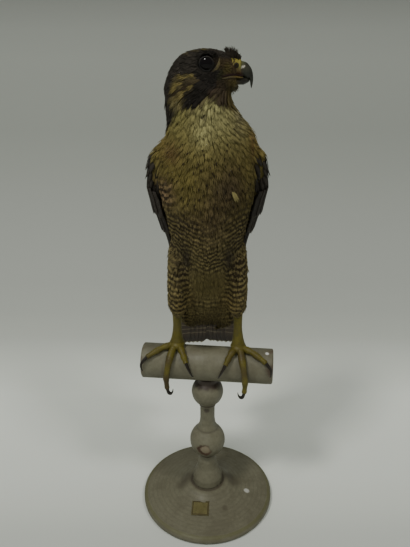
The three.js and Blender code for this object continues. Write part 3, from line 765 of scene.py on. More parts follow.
def mesh_arrays(mesh):
    """Vertices, triangles and vertex normals as arrays."""
    mesh.calc_loop_triangles()
    verts = np.empty(len(mesh.vertices) * 3)
    mesh.vertices.foreach_get("co", verts)
    normals = np.empty(len(mesh.vertices) * 3)
    mesh.vertices.foreach_get("normal", normals)
    tris = np.empty(len(mesh.loop_triangles) * 3, np.int32)
    mesh.loop_triangles.foreach_get("vertices", tris)
    return verts.reshape(-1, 3), tris.reshape(-1, 3), normals.reshape(-1, 3)


def coat_depth(points):
    """How far the skin lies under the solids' surface: thin on the face, deep on the body."""
    ahead, _, up = in_head(points).T
    face = smoothstep(ahead, -30, 12) * smoothstep(up, -34, -18)
    head = smoothstep(points[:, 2], 0.462, 0.496)
    return (3.2 - 2.2 * head - 0.3 * face * head) * MM


# Where the feathers stand fuller than the solids: centre, radii and by how much, in millimetres
FULLER = [
    ((-44, -4, 449), (12, 34, 10), 3.8), ((50, -4, 447), (11, 34, 10), 4.0),
    ((45, -4, 455), (9, 30, 8), 2.0), ((-30, -2, 474), (12, 30, 18), 1.8),
    ((-24, 4, 505), (14, 30, 14), 0.9),
]

skin_mesh = remeshed(rough_mesh, SKIN_VOXEL)
bm = bmesh.new()
bm.from_mesh(skin_mesh)
all_axes = {"use_axis_x": True, "use_axis_y": True, "use_axis_z": True}
for _ in range(7):
    bmesh.ops.smooth_vert(bm, verts=bm.verts, factor=0.5, **all_axes)
bm.to_mesh(skin_mesh)
bm.free()
verts, _, normals = mesh_arrays(skin_mesh)
verts -= normals * (coat_depth(verts) + SWELL)[:, None]
for centre, radii, by in FULLER:
    verts += normals * (blot(verts, centre, radii) * by * MM)[:, None]
skin_mesh.vertices.foreach_set("co", verts.ravel())
skin_mesh.update()
SKIN_VERTS, SKIN_TRIS, _ = mesh_arrays(skin_mesh)
SKIN_TREE = BVHTree.FromPolygons(SKIN_VERTS.tolist(), SKIN_TRIS.tolist())
print("skin vertices:", len(SKIN_VERTS))

# %% [markdown]
# ## Markings
#
# A peregrine is blackish slate above, with a black moustache below the eye, and buff below, with
# drops on the breast that turn into bars on the belly and thighs. On this old skin the buff has gone
# olive and brown in patches. The markings are functions of place, and both the skin and every feather
# ask them, so the two always agree. Each place gets a tone and four shares: bars, drops, fine streaks
# and pale fringe.

# %% Colours of the plumage
CREAM = np.array((0.33, 0.31, 0.135))
BUFF = np.array((0.147, 0.12, 0.031))
OLIVE = np.array((0.15, 0.12, 0.036))
PALE_BARS = np.array((0.235, 0.19, 0.074))
STAIN = np.array((0.085, 0.06, 0.03))
RUFOUS = np.array((0.23, 0.13, 0.055))
OCHRE = np.array((0.27, 0.2, 0.06))
SLATE = np.array((0.026, 0.0215, 0.017))
BLACK = np.array((0.011, 0.009, 0.008))
LORE = np.array((0.062, 0.042, 0.018))
THROAT = np.array((0.045, 0.027, 0.018))


def wavy(points, scale, seed=0.0):
    """Soft noise from -1 to 1 at each point."""
    return np.array([noise.noise(Vector(p) * scale + Vector((seed, seed, seed))) for p in points])


def between(value, low, high, soft):
    return smoothstep(value, low - soft, low + soft) * fade(value, high - soft, high + soft)


def blend(tone, other, share):
    return tone + (other - tone) * np.clip(share, 0, 1)[:, None]


def layered(tone, layers):
    """The tone with other tones laid over it in turn, each by its own share at each place."""
    for other, share in layers:
        tone = blend(tone, np.array(other), share)
    return tone


def mottled(points, tone, amount, scale):
    """A tone that is lighter and darker in soft spots."""
    return np.array(tone) * (1 + amount * wavy(points, scale)[:, None])


# %% Where the dark mantle and hindneck lie
# For each height: where the dark begins and ends, in degrees round the body from its left side. The nape
# turns with the looking head, so the dark winds round the neck
NAPE = np.array([
    (330, 27, 153), (370, 2, 178), (405, 2, 176), (425, 14, 168), (442, 34, 168), (450, 60, 186),
    (458, 92, 207), (466, 115, 219), (476, 132, 230), (488, 138, 240), (500, 140, 240),
])


def nape(points):
    """1 on the dark back and hindneck."""
    x, y, z = points.T / MM
    centre_x = -8 * smoothstep(z, 452, 480)
    centre_y = 4 + 40 * fade(z, 330, 370)
    angle = np.degrees(np.arctan2(y - centre_y, x - centre_x)) % 360
    start, end = (np.interp(z, NAPE[:, 0], NAPE[:, k]) for k in (1, 2))
    shaken = angle + 5 * wavy(points, 90)
    return between(shaken, start, end, 7)


# %% Markings of the head
# At each height below the eyes: where the moustache and the pale cheek begin and end, nape to bill
MOUSTACHE = np.array([
    (-45, -19, -16), (-40, -21, -13), (-34, -21.5, -7), (-27, -20, -0.5), (-18, -11, 8),
    (-8, -12.5, 9.5), (-3, -10, 6),
])
CHEEK = np.array([
    (-60, -34, -19), (-44, -34, -20), (-34, -35, -22), (-26, -34, -20), (-18, -32, -11),
    (-10, -29, -12.5), (-6, -24, -14),
])


def across_table(rows, height, ahead, soft):
    """1 where a place lies between the two lines of a table."""
    low, high = (np.interp(height, rows[:, 0], rows[:, k]) for k in (1, 2))
    return between(ahead, low, high, soft)


def fanned(points):
    """Streaks from -1 to 1 that fan back from the bill, as the head's feathers lie."""
    ahead, side, up = in_head(points).T
    turn = np.arctan2(up + 4, ahead - 27)
    reach = np.hypot(up + 4, ahead - 27)
    places = np.stack([turn * 11, reach * 0.05, np.sign(side) * 3], 1)
    return np.array([noise.noise(Vector(p)) for p in places]) * 1.6


def head_marking(points):
    """Tone and share of streaks on the head."""
    streak = fanned(points)
    ahead, side, up = in_head(points).T
    ahead = ahead + 1.6 * wavy(points, 170, 3)
    up = up + 1.6 * wavy(points, 170, 9)
    cheeks = smoothstep(np.abs(side), 6, 12)
    crown = smoothstep(up, 4, 9) * smoothstep(streak, 0.0, 0.6) * fade(ahead, -2, 12)
    throat = fade(up, -16, -12) * smoothstep(ahead, -16, -8)
    cheek = cheeks * across_table(CHEEK, up, ahead, 2.2) * fade(up, -12, -8)
    low_cheek = cheeks * across_table(CHEEK, up, ahead, 1.5) * fade(up, -36, -28)
    tone = layered(SLATE * (1 + 0.3 * streak[:, None]), [
        (OLIVE * 0.45, crown),
        (LORE, between(ahead, 6, 40, 2) * fade(up, 2.5, 6)),
        (THROAT, throat),
        ((0.026, 0.026, 0.01), cheeks * between(ahead, 8, 16, 2) * between(up, -15, -5, 2)),
        ((0.075, 0.06, 0.016), cheeks * between(ahead, 15, 22, 2) * between(up, -8, 0, 2)),
        ((0.05, 0.036, 0.02), throat * between(ahead, 4, 20, 3) * 0.8),
        (OLIVE * 0.8, throat * smoothstep(ahead, 15, 24) * 0.8),
        (OLIVE * 1.25, cheek * (0.25 + 0.75 * smoothstep(streak, -0.35, 0.25))),
        (THROAT, cheek * smoothstep(-streak, 0.2, 0.6) * 0.6),
        ((0.178, 0.15, 0.062), low_cheek),
        (BLACK, cheeks * across_table(MOUSTACHE, up, ahead, 1.6) * smoothstep(up, -41.5, -36.5)),
        (BLACK, np.exp(-((ahead / 11) ** 4) - (up / 10) ** 4) * cheeks * 0.9),
    ])
    return tone, 0.35 + 0.65 * cheeks * across_table(CHEEK, up, ahead, 3)


# %% Markings of the body
# Patches of another tone: the tone, the patch's centre and radii in millimetres, and its strength
BREAST_PATCHES = [
    (CREAM * 0.95, (6, -36, 474), (30, 70, 30), 0.98),
    (CREAM * 1.25, (-5, -44, 452), (8, 60, 10), 0.7),
    ((0.27, 0.245, 0.082), (-32, -20, 468), (13, 60, 20), 0.85),
]
STAINS = [
    (STAIN * 0.8, (22, -50, 404), (24, 60, 26), 0.95),
    (STAIN * 1.1, (5, -50, 376), (15, 60, 24), 0.75),
    (STAIN * 1.6, (-18, -50, 374), (14, 60, 14), 0.45),
]
FLANK_PATCHES = [
    (OLIVE * 1.2, (40, -40, 418), (8, 60, 16), 0.7),
    ((0.33, 0.22, 0.12), (-42, -30, 396), (10, 60, 12), 0.9),
    (RUFOUS * 0.6, (-35, -30, 434), (9, 60, 8), 0.7),
    (RUFOUS * 0.8, (43.5, -25, 441), (2.6, 60, 11), 0.9),
    (OCHRE * 1.15, (53, -12, 441), (9, 60, 10), 1),
    (OCHRE * 0.9, (-44, -18, 444), (8, 60, 8), 0.7),
    (OLIVE * 0.95, (0, -40, 303), (17, 60, 16), 0.9),
]
LEG_PATCHES_AND_CREASE_SHADOW = [
    ((0.07, 0.052, 0.032), (29, -40, 322), (9, 60, 26), 0.4),
    # Painted shadow: a near-black blot in the crease where the belly meets the thigh
    (BLACK * 2, (20.5, -40, 335), (5, 60, 14), 0.8),
    ((0.24, 0.17, 0.055), (25, -20, 277), (11, 60, 13), 0.5),
]


def patched(tone, points, patches):
    layers = ((other, blot(points, at, radii) * share) for other, at, radii, share in patches)
    return layered(tone, layers)


def body_marking(points):
    """Tone and shares of bars, drops and streaks on the body."""
    x, y, z = points.T / MM
    tone = patched(mottled(points, BUFF, 0.22, 60), points, BREAST_PATCHES)
    tone = blend(tone, PALE_BARS, fade(z, 358, 396))
    tone = patched(tone, points, STAINS)
    row = between(x, 0, 21, 2) * between(z, 403.5, 406.5, 1.2)
    row = row * smoothstep(wavy(points, 260, 2), -0.2, 0.2)
    tone = blend(tone, BLACK, row * 0.85 * (y < 0))
    tone = patched(tone, points, FLANK_PATCHES)
    # Each leg's patches, with the painted shadow in the crease between belly and thigh, on both sides
    for side in (-1, 1):
        tone = patched(tone, points * (side, 1, 1), LEG_PATCHES_AND_CREASE_SHADOW)
    legs = fade(z, 322, 345) * smoothstep(np.abs(x), 14, 20)
    tone = tone * (1 + fade(z, 365, 395) * (0.24 * legs - 0.13))[:, None]
    flank = blot(points, (-42, -30, 396), (11, 60, 13))
    uneven = np.clip(0.95 + 0.5 * wavy(points, 45, 7), 0.45, 1)
    centre = fade(np.abs(x), 14, 21) * fade(z, 316, 330) * smoothstep(z, 278, 290)
    vent = fade(np.abs(x), 18, 26) * fade(z, 278, 290)
    bars = fade(z, 366, 400) * (1 - 0.78 * centre - 0.35 * vent) * uneven
    bars = np.maximum(bars * (1 - 0.7 * blot(points, (5, -50, 380), (12, 60, 22))), flank * 1.4)
    drops = 0.05 + 0.1 * between(z, 392, 446, 8) + 0.4 * between(z, 366, 402, 8)
    return tone, bars, drops * (1 - flank), 0.1 + 0.2 * between(z, 380, 440, 12)


# The lower edge of the head's own markings: distance ahead of the eyes, height
HEAD_EDGE = np.array([
    (-40, -40), (-12, -42), (-7, -38.5), (-2, -33.5), (7, -32.5), (14, -38), (20, -42), (40, -44),
])


def markings(points):
    """Tone, and shares of bars, drops, streaks and fringe, at each point."""
    points = np.asarray(points)
    body, bars, drops, streaks = body_marking(points)
    dark = nape(points)
    body = blend(body, SLATE, dark)
    on_head = in_head(points)
    edge = np.interp(on_head[:, 0], HEAD_EDGE[:, 0], HEAD_EDGE[:, 1]) + 2.5 * wavy(points, 120, 5)
    is_head = smoothstep(on_head[:, 2], edge - 2, edge + 2)
    grey_edge = blot(points, (31, 8, 462), (7, 30, 24)) * (1 - dark)
    body = blend(body, np.array((0.21, 0.185, 0.11)), grey_edge * 0.8)
    body = blend(body, SLATE, blot(points, (-4.5, -34, 465), (2.6, 30, 3.4)))
    head, head_streaks = head_marking(points)
    tone = blend(body, head, is_head)
    ahead, side, up = on_head.T
    moustache = across_table(MOUSTACHE, up, ahead, 1.5) * smoothstep(up, -41.5, -36.5)
    tone = blend(tone, BLACK, moustache * smoothstep(np.abs(side), 8, 14))
    plain = 1 - np.maximum(is_head, dark)
    streaks = streaks * (1 - is_head) + head_streaks * is_head
    return tone, np.stack([bars * plain, drops * plain, streaks, dark], 1)


def bar_phase(points):
    """A length whose sine draws the bars: they sink towards the middle of the belly, and waver."""
    x, _, z = np.moveaxis(points, -1, 0) / MM
    legs = fade(z, 322, 345) * smoothstep(np.abs(x), 14, 20)
    off = np.abs(np.where(legs > 0.5, x - 31 * np.sign(x), x))
    slant = (0.42 - 0.38 * legs) * np.minimum(off, 30) - 0.35 * np.maximum(off - 30, 0)
    waver = 0.5 * np.sin(0.4 * x + 0.13 * z) + 0.35 * np.sin(0.83 * x - 0.29 * z + 1)
    calm = np.maximum(legs, fade(z, 285, 310))
    slant = slant * smoothstep(z, 275, 315) + waver * (1 - 0.8 * calm)
    return (np.interp(z, (230, 330, 375, 460), (0, 87, 138.8, 208.5)) - slant) * MM


tone, shares = markings(np.array([HEAD_CENTRE, (0, -0.05, 0.40), (0, -0.04, 0.31)]))
print("tones:", tone.round(3).tolist(), shares.round(2).tolist())

# %% [markdown]
# ## Plumage as a material
#
# Seen close, a vane is fine barbs that slant off the shaft. The material reads the tone and the
# shares that each feather carries, and its small map: across the vane and along it. Bars follow a
# phase laid down with the feathers, so that they run on from one to the next as real barring does.

# %% Build the vane group
BAR_STEP = 5.2 * MM


def make_vane_pattern():
    """Masks from the map of one feather: barbs, shaft, rim and drop."""
    group = bpy.data.node_groups.new("vane_pattern", "ShaderNodeTree")
    group.interface.new_socket("Barb Count", in_out="INPUT", socket_type="NodeSocketFloat")
    for name in ("Barbs", "Shaft", "Rim", "Drop"):
        group.interface.new_socket(name, in_out="OUTPUT", socket_type="NodeSocketFloat")
    tree = Tree(group)
    count = tree.add("NodeGroupInput").outputs["Barb Count"]
    where = tree.add("ShaderNodeUVMap", uv_map="vane").outputs[0]
    across, along, _ = tree.add("ShaderNodeSeparateXYZ", {0: where}).outputs
    off = tree.calc("ABSOLUTE", tree.minus(across, 0.5))
    slant = tree.minus(tree.times(along, count), tree.times(off, 30.0))
    barbs = tree.plus(tree.times(tree.calc("SINE", tree.times(slant, 6.28)), 0.5), 0.5)
    shaft = tree.step(off, 0.045, 0.015)
    rim = tree.calc("MAXIMUM", tree.step(off, 0.38, 0.48), tree.step(along, 0.9, 0.98))
    wide = tree.calc("DIVIDE", off, 0.14)
    long = tree.calc("DIVIDE", tree.minus(along, 0.8), 0.12)
    reach = tree.plus(tree.times(wide, wide), tree.times(long, long))
    drop = tree.step(reach, 1.2, 0.5)
    tree.add("NodeGroupOutput", {"Barbs": barbs, "Shaft": shaft, "Rim": rim, "Drop": drop})
    return group


VANE_PATTERN = make_vane_pattern()


def plumage(name, dark, pale, roughness, barbs=34.0, barb_depth=0.00012):
    """A feather material. dark is the colour of its bars and drops, pale that of its fringes."""
    material, tree, shader = new_material(name, Roughness=roughness, Specular_IOR_Level=0.2)
    pattern = tree.add("ShaderNodeGroup", {"Barb Count": barbs}, node_tree=VANE_PATTERN).outputs
    tone = tree.attribute("tone").outputs["Color"]
    shares = tree.attribute("shares")
    bars, drops, streaks = tree.add("ShaderNodeSeparateColor", {0: shares.outputs["Color"]}).outputs
    fringe = shares.outputs["Alpha"]
    place = tree.here()
    phase = tree.attribute("phase").outputs["Fac"]
    wave = tree.calc("SINE", tree.times(phase, 2 * math.pi / BAR_STEP))
    bar = tree.times(tree.step(wave, -0.35, 0.15), bars, clamp=True)
    hair_and_shade = tree.spots(place, 900, 2, 0.6, (1, 1, 0.12))
    # Where the hair mask is high the tone darkens in fine streaks: partly the barbs' own streaks, partly
    # painted shade in the gaps between feathers
    shaded = tree.mix(1.0, tone, colour(0.45, 0.42, 0.4), "MULTIPLY")
    look = tree.mix(tree.times(tree.step(hair_and_shade, 0.35, 0.7), 0.28), tone, shaded)
    look = tree.mix(tree.times(bar, 0.92), look, dark)
    look = tree.mix(tree.times(pattern["Drop"], drops), look, dark)
    shaft = tree.times(tree.times(pattern["Shaft"], streaks), 0.8)
    look = tree.mix(shaft, look, dark)
    rim = tree.times(tree.times(pattern["Rim"], fringe), 0.6)
    look = tree.mix(rim, look, pale)
    dusty = tree.times(tree.spots(place, 35, 3), 0.09)
    look = tree.mix(dusty, look, colour(0.17, 0.15, 0.1))
    tree.put(shader.inputs["Base Color"], look)
    tree.put(shader.inputs["Normal"], tree.bump(tree.plus(pattern["Barbs"], hair_and_shade), barb_depth, 0.7))
    return material


BAR_BROWN = colour(0.026, 0.018, 0.01)
SLATE_BARS = colour(0.012, 0.01, 0.009)
PALE_PLUMAGE = plumage("pale_plumage", BAR_BROWN, colour(0.3, 0.25, 0.12), 0.85)
SLATE_PLUMAGE = plumage("slate_plumage", SLATE_BARS, colour(0.085, 0.07, 0.045), 0.7)
print("vane pattern:", len(VANE_PATTERN.nodes), "nodes")


# %% Paint the skin with the same markings, darkened as painted shade between the feathers
def put_attribute(mesh, name, kind, values):
    """One value at each vertex: FLOAT, or FLOAT_COLOR from rows of four."""
    layer = mesh.attributes.new(name, kind, "POINT")
    field = {"FLOAT_COLOR": "color", "FLOAT": "value"}[kind]
    layer.data.foreach_set(field, np.asarray(values, np.float32).ravel())


def put_tone(mesh, tone):
    put_attribute(mesh, "tone", "FLOAT_COLOR", np.c_[tone, np.ones(len(tone))])


tone, shares = markings(SKIN_VERTS)
# The skin takes three quarters of the markings' tone: painted shade where it shows between the feathers
put_tone(skin_mesh, tone * 0.75)
put_attribute(skin_mesh, "shares", "FLOAT_COLOR", shares * (1, 0, 0, 0))
put_attribute(skin_mesh, "phase", "FLOAT", bar_phase(SKIN_VERTS))
skin_mesh.uv_layers.new(name="vane")
placed("skin", skin_mesh, PALE_PLUMAGE, "feather_pale", FLESH)

# %% [markdown]
# ## How a feather is laid
#
# Thousands of feathers are one joined mesh, filled from arrays. Each starts at a root on the skin and
# steps along its lie, dropping back to the skin at each step, so it bends round the body by itself.
# Its section is a low ridge, closed below, and a body feather is parted into a few slim lobes, which
# gives the soft broken surface of real plumage.

# %% Scatter roots over the skin
random = np.random.default_rng(20)


def scattered(spacing, region, crowd=4.0):
    """Roots on the skin: many are drawn, and those nearer to another than the spacing are dropped."""
    a, b, c = (SKIN_VERTS[SKIN_TRIS[:, k]] for k in range(3))
    area = np.linalg.norm(np.cross(b - a, c - a), axis=1) / 2
    weight = np.where(face_regions == region, area / spacing**2, 0)
    wanted = int(weight.sum() * crowd)
    chosen = random.choice(len(area), wanted, p=weight / weight.sum())
    share = random.random((wanted, 2))
    fold = share.sum(1) > 1
    share[fold] = 1 - share[fold]
    points = a[chosen] + (b - a)[chosen] * share[:, :1] + (c - a)[chosen] * share[:, 1:]
    reach = spacing[chosen]
    tree = KDTree(wanted)
    for i, point in enumerate(points):
        tree.insert(point, i)
    tree.balance()
    gone = np.zeros(wanted, bool)
    kept = []
    for i in range(wanted):
        if gone[i]:
            continue
        kept.append(i)
        for _, j, _ in tree.find_range(points[i], reach[i]):
            gone[j] = True
    return points[kept]


def on_skin(points):
    """The nearest place on the skin to each point, and the skin's direction there."""
    places, normals = np.empty_like(points), np.empty_like(points)
    for i, point in enumerate(points):
        place, normal, _, _ = SKIN_TREE.find_nearest(Vector(point))
        places[i], normals[i] = place, normal
    return places, normals


def in_the_open(roots, reach):
    """The roots with no other part of the skin close above, as there is under the wing."""
    places, normals = on_skin(roots)
    return roots[[
        SKIN_TREE.ray_cast(Vector(place + normal * MM), Vector(normal), reach * MM)[0] is None
        for place, normal in zip(places, normals)
    ]]


def unit(vectors):
    return vectors / np.maximum(np.linalg.norm(vectors, axis=-1, keepdims=True), 1e-12)


# %% The lie of the coat
BILL_ROOT = HEAD_CENTRE + np.array((27, -1.9, -4)) * MM


def lie(points):
    """Which way feathers point: back from the bill on the head, and down below it."""
    away = unit(points - BILL_ROOT)
    down = np.tile(np.array((0, 0.22, -1.0)), (len(points), 1))
    chest = smoothstep(points[:, 2], 0.36, 0.46) * fade(points[:, 1], -0.03, 0.01)
    down[:, 0] += 0.25 * chest * np.sign(points[:, 0]) * smoothstep(np.abs(points[:, 0]), 0.0, 0.05)
    on_head = in_head(points)
    share = smoothstep(on_head[:, 2], -52, -16)[:, None]
    down_neck = np.stack([-0.35 * np.ones(len(points)), np.zeros(len(points)), -np.ones(len(points))], 1)
    return unit(away * share + unit(down) * (1 - share) + 0.25 * unit(down_neck) * share * (1 - share))


# %% Lay feathers along the skin
def laid(roots, length, lift, rings, ruffle=0.12, rise=0.0):
    """Steps each feather along its lie: places, directions, and normals for every ring."""
    places, normals = on_skin(roots)
    heading = lie(places)
    swirl = np.array([noise.noise_vector(Vector(p) * 55) for p in places])
    heading = unit(heading + ruffle * swirl + random.normal(0, ruffle * 0.6, heading.shape))
    spine, ups = [places + normals * lift[:, None] * 0.15], [normals]
    here = places
    for k in range(1, rings):
        flat = unit(heading - normals * np.sum(heading * normals, 1, keepdims=True))
        here, fresh = on_skin(here + flat * (length / (rings - 1))[:, None])
        normals = unit(normals + fresh)
        t = k / (rings - 1)
        height = lift * (0.15 + 0.85 * t**0.8) + rise * t**2
        spine.append(here + normals * height[:, None])
        ups.append(normals)
        heading = unit(flat + 0.3 * lie(here))
    spine, ups = np.stack(spine, 1), np.stack(ups, 1)
    along = unit(np.gradient(spine, axis=1))
    across = unit(np.cross(along, ups))
    return spine, along, unit(np.cross(across, along))


# %% Shape the vanes
def lobed(spine, across, ups, width, lobes, spread, thick, camber):
    """Rings of left, ridge and right for each lobe of each feather, and their places on its map."""
    count, rings, _ = spine.shape
    t = np.linspace(0, 1, rings)
    rings_out, maps = [], []
    for lobe in np.linspace(-1, 1, lobes) if lobes > 1 else (0.0,):
        shrink = 1 - 0.13 * abs(lobe) - 0.1 * random.random(count)
        at = t[None] * shrink[:, None] * (rings - 1)
        low = np.minimum(at.astype(int), rings - 2)
        share = (at - low)[..., None]
        rows = np.arange(count)[:, None]

        def along(values):
            return values[rows, low] * (1 - share) + values[rows, low + 1] * share

        middle, side, up = along(spine), unit(along(across)), unit(along(ups))
        offset = lobe * spread * width[:, None] * (0.25 + 0.75 * t[None] ** 0.8)
        sway = random.normal(0, 0.05, count)[:, None] * width[:, None] * t[None] ** 2
        slim = 1.0 if lobes == 1 else 1.35 / lobes
        profile = np.sin(np.pi * np.clip(t, 0, 1) ** 0.62 * 0.93 + 0.12) ** 0.75
        half = 0.5 * width[:, None] * slim * (0.12 + 0.88 * profile[None])
        half[:, -1] *= 0.18
        sink = camber * (offset / width[:, None]) ** 2 * width[:, None]
        middle = middle + side * (offset + sway)[..., None] - up * sink[..., None]
        drop = camber * half * 0.7
        left = middle - side * half[..., None] - up * drop[..., None]
        right = middle + side * half[..., None] - up * drop[..., None]
        ridge = middle + up * thick
        rings_out.append(np.stack([left, ridge, right], 2))
        sides = np.stack([-half, 0 * half, half], 2)
        u = 0.5 + (offset / width[:, None])[..., None] * 0.8 + sides / width[:, None, None]
        v = np.broadcast_to((t[None] * shrink[:, None])[..., None], u.shape)
        maps.append(np.stack([np.clip(u, 0, 1), v], -1))
    return np.concatenate(rings_out), np.concatenate(maps)


# %% Join the feathers into one mesh
PATCH = 0.003


def feather_piece(name, rings, maps, patches, tone, shares, phase, material, slot, replaces=()):
    """One piece from closed rings of feathers, each with a small patch of the map OFBake at its root."""
    count, steps, around, _ = rings.shape
    index = np.arange(count * steps * around, dtype=np.int32).reshape(count, steps, around)
    nxt = np.roll(index, -1, axis=2)
    quads = np.stack([index[:, :-1], nxt[:, :-1], nxt[:, 1:], index[:, 1:]], -1).reshape(-1, 4)
    root_caps, tip_caps = index[:, 0, ::-1], index[:, -1]
    loops = np.concatenate([quads.ravel(), root_caps.ravel(), tip_caps.ravel()])
    sizes = np.concatenate([np.full(len(quads), 4), np.full(2 * count, around)]).astype(np.int32)
    mesh = bpy.data.meshes.new(name)
    mesh.vertices.add(index.size)
    mesh.vertices.foreach_set("co", rings.astype(np.float32).ravel())
    mesh.loops.add(len(loops))
    mesh.loops.foreach_set("vertex_index", loops)
    mesh.polygons.add(len(sizes))
    starts = np.concatenate([[0], np.cumsum(sizes)[:-1]]).astype(np.int32)
    mesh.polygons.foreach_set("loop_start", starts)
    mesh.polygons.foreach_set("loop_total", sizes)
    own = maps.reshape(-1, 2)
    each = steps * around
    baked = np.repeat(patches, each, 0) + (own - 0.5) * PATCH
    for layer, values in (("OFBake", baked), ("vane", own)):
        mesh.uv_layers.new(name=layer).data.foreach_set("uv", values[loops].astype(np.float32).ravel())
    put_tone(mesh, np.repeat(tone, each, 0))
    put_attribute(mesh, "shares", "FLOAT_COLOR", np.repeat(shares, each, 0))
    put_attribute(mesh, "phase", "FLOAT", phase)
    mesh.update(calc_edges=True)
    mesh.validate()
    placed(name, mesh, material, slot, replaces)


def unwrapped(points, axis):
    """The place of each root on an unwrap of the skin's own shape: round an axis, and along it."""
    low, high = points.min(0), points.max(0)
    off = points - (low + high) / 2
    others = [k for k in range(3) if k != axis]
    angle = np.arctan2(off[:, others[1]], off[:, others[0]]) / (2 * math.pi) + 0.5
    along = (points[:, axis] - low[axis]) / (high[axis] - low[axis])
    return np.stack([angle, along], 1) * (1 - 2 * PATCH) + PATCH


# %% [markdown]
# ## Body plumage
#
# The coat is put on region by region, because feathers differ: slim soft lobes on the breast and thighs,
# minute ones on the face, and broad scale-like ones with pale fringes on the mantle.

# %% Tell the regions apart
REGION_TREES = {}
for name in FLESH:
    found, tris, _ = mesh_arrays(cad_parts[name].data)
    REGION_TREES[name] = BVHTree.FromPolygons(found.tolist(), tris.tolist())
for side, name in SIDES:
    core = bmesh.new()
    wing_core(core, side)
    bmesh.ops.triangulate(core, faces=core.faces)
    REGION_TREES["wing_" + name] = BVHTree.FromBMesh(core)
    core.free()


def nearest_region(points):
    names = list(REGION_TREES)
    reach = np.array([[REGION_TREES[n].find_nearest(Vector(p))[3] for n in names] for p in points])
    return np.array(names)[reach.argmin(1)]


face_regions = nearest_region(SKIN_VERTS[SKIN_TRIS].mean(1))
print({name: int((face_regions == name).sum()) for name in REGION_TREES})


def scattered_evenly(spacing, region):
    """Roots on one region, at least so many millimetres apart."""
    return scattered(np.full(len(SKIN_TRIS), spacing * MM), region)


# %% Lay one region's coat
def coat(name, roots, length, width, lift, slot, material, axis=2, lobes=3, rings=5, thick=0.16,
         camber=0.25, ruffle=0.12, spread=0.34, rise=0.0, shake=0.45, fringe=None, tone_of=None):
    """One coat piece. length, width and lift are in millimetres, one for each root or one for all."""
    count = len(roots)
    vary = 1 + 0.12 * random.standard_normal(count)
    length = np.broadcast_to(length, count) * np.clip(vary, 0.7, 1.3) * MM
    width = np.broadcast_to(width, count) * (1 + 0.1 * random.standard_normal(count)) * MM
    lift = np.broadcast_to(lift, count) * (1 + 0.25 * random.standard_normal(count)) * MM
    spine, along, ups = laid(roots, length, np.maximum(lift, 0.2 * MM), rings, ruffle, rise * MM)
    across = unit(np.cross(along, ups))
    rings_out, maps = lobed(spine, across, ups, width, lobes, spread, thick * MM, camber)
    tip = spine[:, -2]
    tone, shares = markings(tip)
    if tone_of is not None:
        tone, shares[:, :2] = tone_of(tip), 0
    if fringe is not None:
        shares[:, 3] = fringe
    tone = tone * (1 + 0.07 * random.standard_normal((count, 1)))
    shares[:, 1] = random.random(count) < shares[:, 1]
    jitter = random.normal(0, shake * MM, count)
    chevron = np.abs(maps[..., 0] - 0.5) * 2.4 * MM
    copies = rings_out.shape[0] // count
    phase = bar_phase(rings_out) + np.tile(jitter, copies)[:, None, None] + chevron
    patches, tone, shares = (
        np.tile(each, (copies, 1)) for each in (unwrapped(roots, axis), np.clip(tone, 0.004, 1), shares)
    )
    feather_piece(name, rings_out, maps, patches, tone, shares, phase, material, slot)


def clear_of_face(points):
    """True off the eyes, the bare crescents before them, the cere and the lips."""
    ahead, side, up = in_head(points).T
    reach, angle = np.hypot(ahead, up), np.degrees(np.arctan2(up, ahead))
    eye = reach < 7.3
    bare = (np.abs(reach - (12.3 - 4.2 * (22 - angle) / 80)) < 1.2) & (angle > -56) & (angle < 18)
    cere = (ahead > 23.2) & (up > -11)
    lips = (ahead > 16) & (np.abs(up + 12.2) < 1.5)
    return ~(((eye | bare) & (np.abs(side) > 8)) | cere | lips)


# %% Coat of the head
a, b, c = (SKIN_VERTS[SKIN_TRIS[:, k]] for k in range(3))
ahead, _, up = in_head((a + b + c) / 3).T
face = smoothstep(ahead, -14, 8) * smoothstep(up, -26, -14)
roots = scattered((1.75 - 0.45 * face) * MM, "head")
roots = roots[clear_of_face(roots)]
face = smoothstep(in_head(roots)[:, 0], -22, 14)
coat("head_plumage", roots, 8.0 - 3.6 * face, 2.3 - 0.7 * face, 1.3 - 0.4 * face, "feather_head",
     SLATE_PLUMAGE, axis=0, lobes=2, rings=4, thick=0.12, ruffle=0.1, fringe=0.25)

# %% Coat of the neck
roots = scattered_evenly(2.15, "neck")
coat("neck_plumage", roots, 12.5, 3.6, 2.4, "feather_pale", PALE_PLUMAGE, ruffle=0.13)


# %% Coat of the breast, belly and flanks
def is_back(points):
    return nape(points) > 0.5


def off_wings(points, gap):
    """True where a wing is at least so many millimetres away."""
    trees = [REGION_TREES["wing_left"], REGION_TREES["wing_right"]]
    reach = [min(tree.find_nearest(Vector(p))[3] for tree in trees) for p in points]
    return np.array(reach) > gap * MM


roots = in_the_open(scattered_evenly(2.3, "torso"), 14)
BREAST_END = 0.372
belly = roots[~is_back(roots)]
across, _, height = belly.T
lapping = np.where(across < 0, smoothstep(height, 0.402, 0.416), smoothstep(height, 0.43, 0.436))
belly = belly[off_wings(belly, np.where(across < 0, 3.5, 8.0) * (1 - lapping) - 0.5)]
pale_one = np.array([(0.0294, -0.06, 0.4085)])
coat("single_pale_feather", pale_one, 14.5, 6.4, 5.6, "feather_pale", PALE_PLUMAGE, rings=6, ruffle=0.0,
     tone_of=lambda points: np.array([(0.215, 0.185, 0.07)]))
breast, belly = belly[belly[:, 2] > BREAST_END], belly[belly[:, 2] <= BREAST_END]
coat("breast_plumage", breast, 14.5, 4.5, 2.4, "feather_pale", PALE_PLUMAGE, ruffle=0.09)
coat("belly_plumage", belly, 12.5, 4.0, 2.7, "feather_barred", PALE_PLUMAGE, shake=0.85)
vent = belly[(belly[:, 2] < 0.288) & (np.abs(belly[:, 0]) < 0.026)]
coat("vent_plumage", vent, 15, 4.2, 3.2, "feather_barred", PALE_PLUMAGE, rise=5.5)

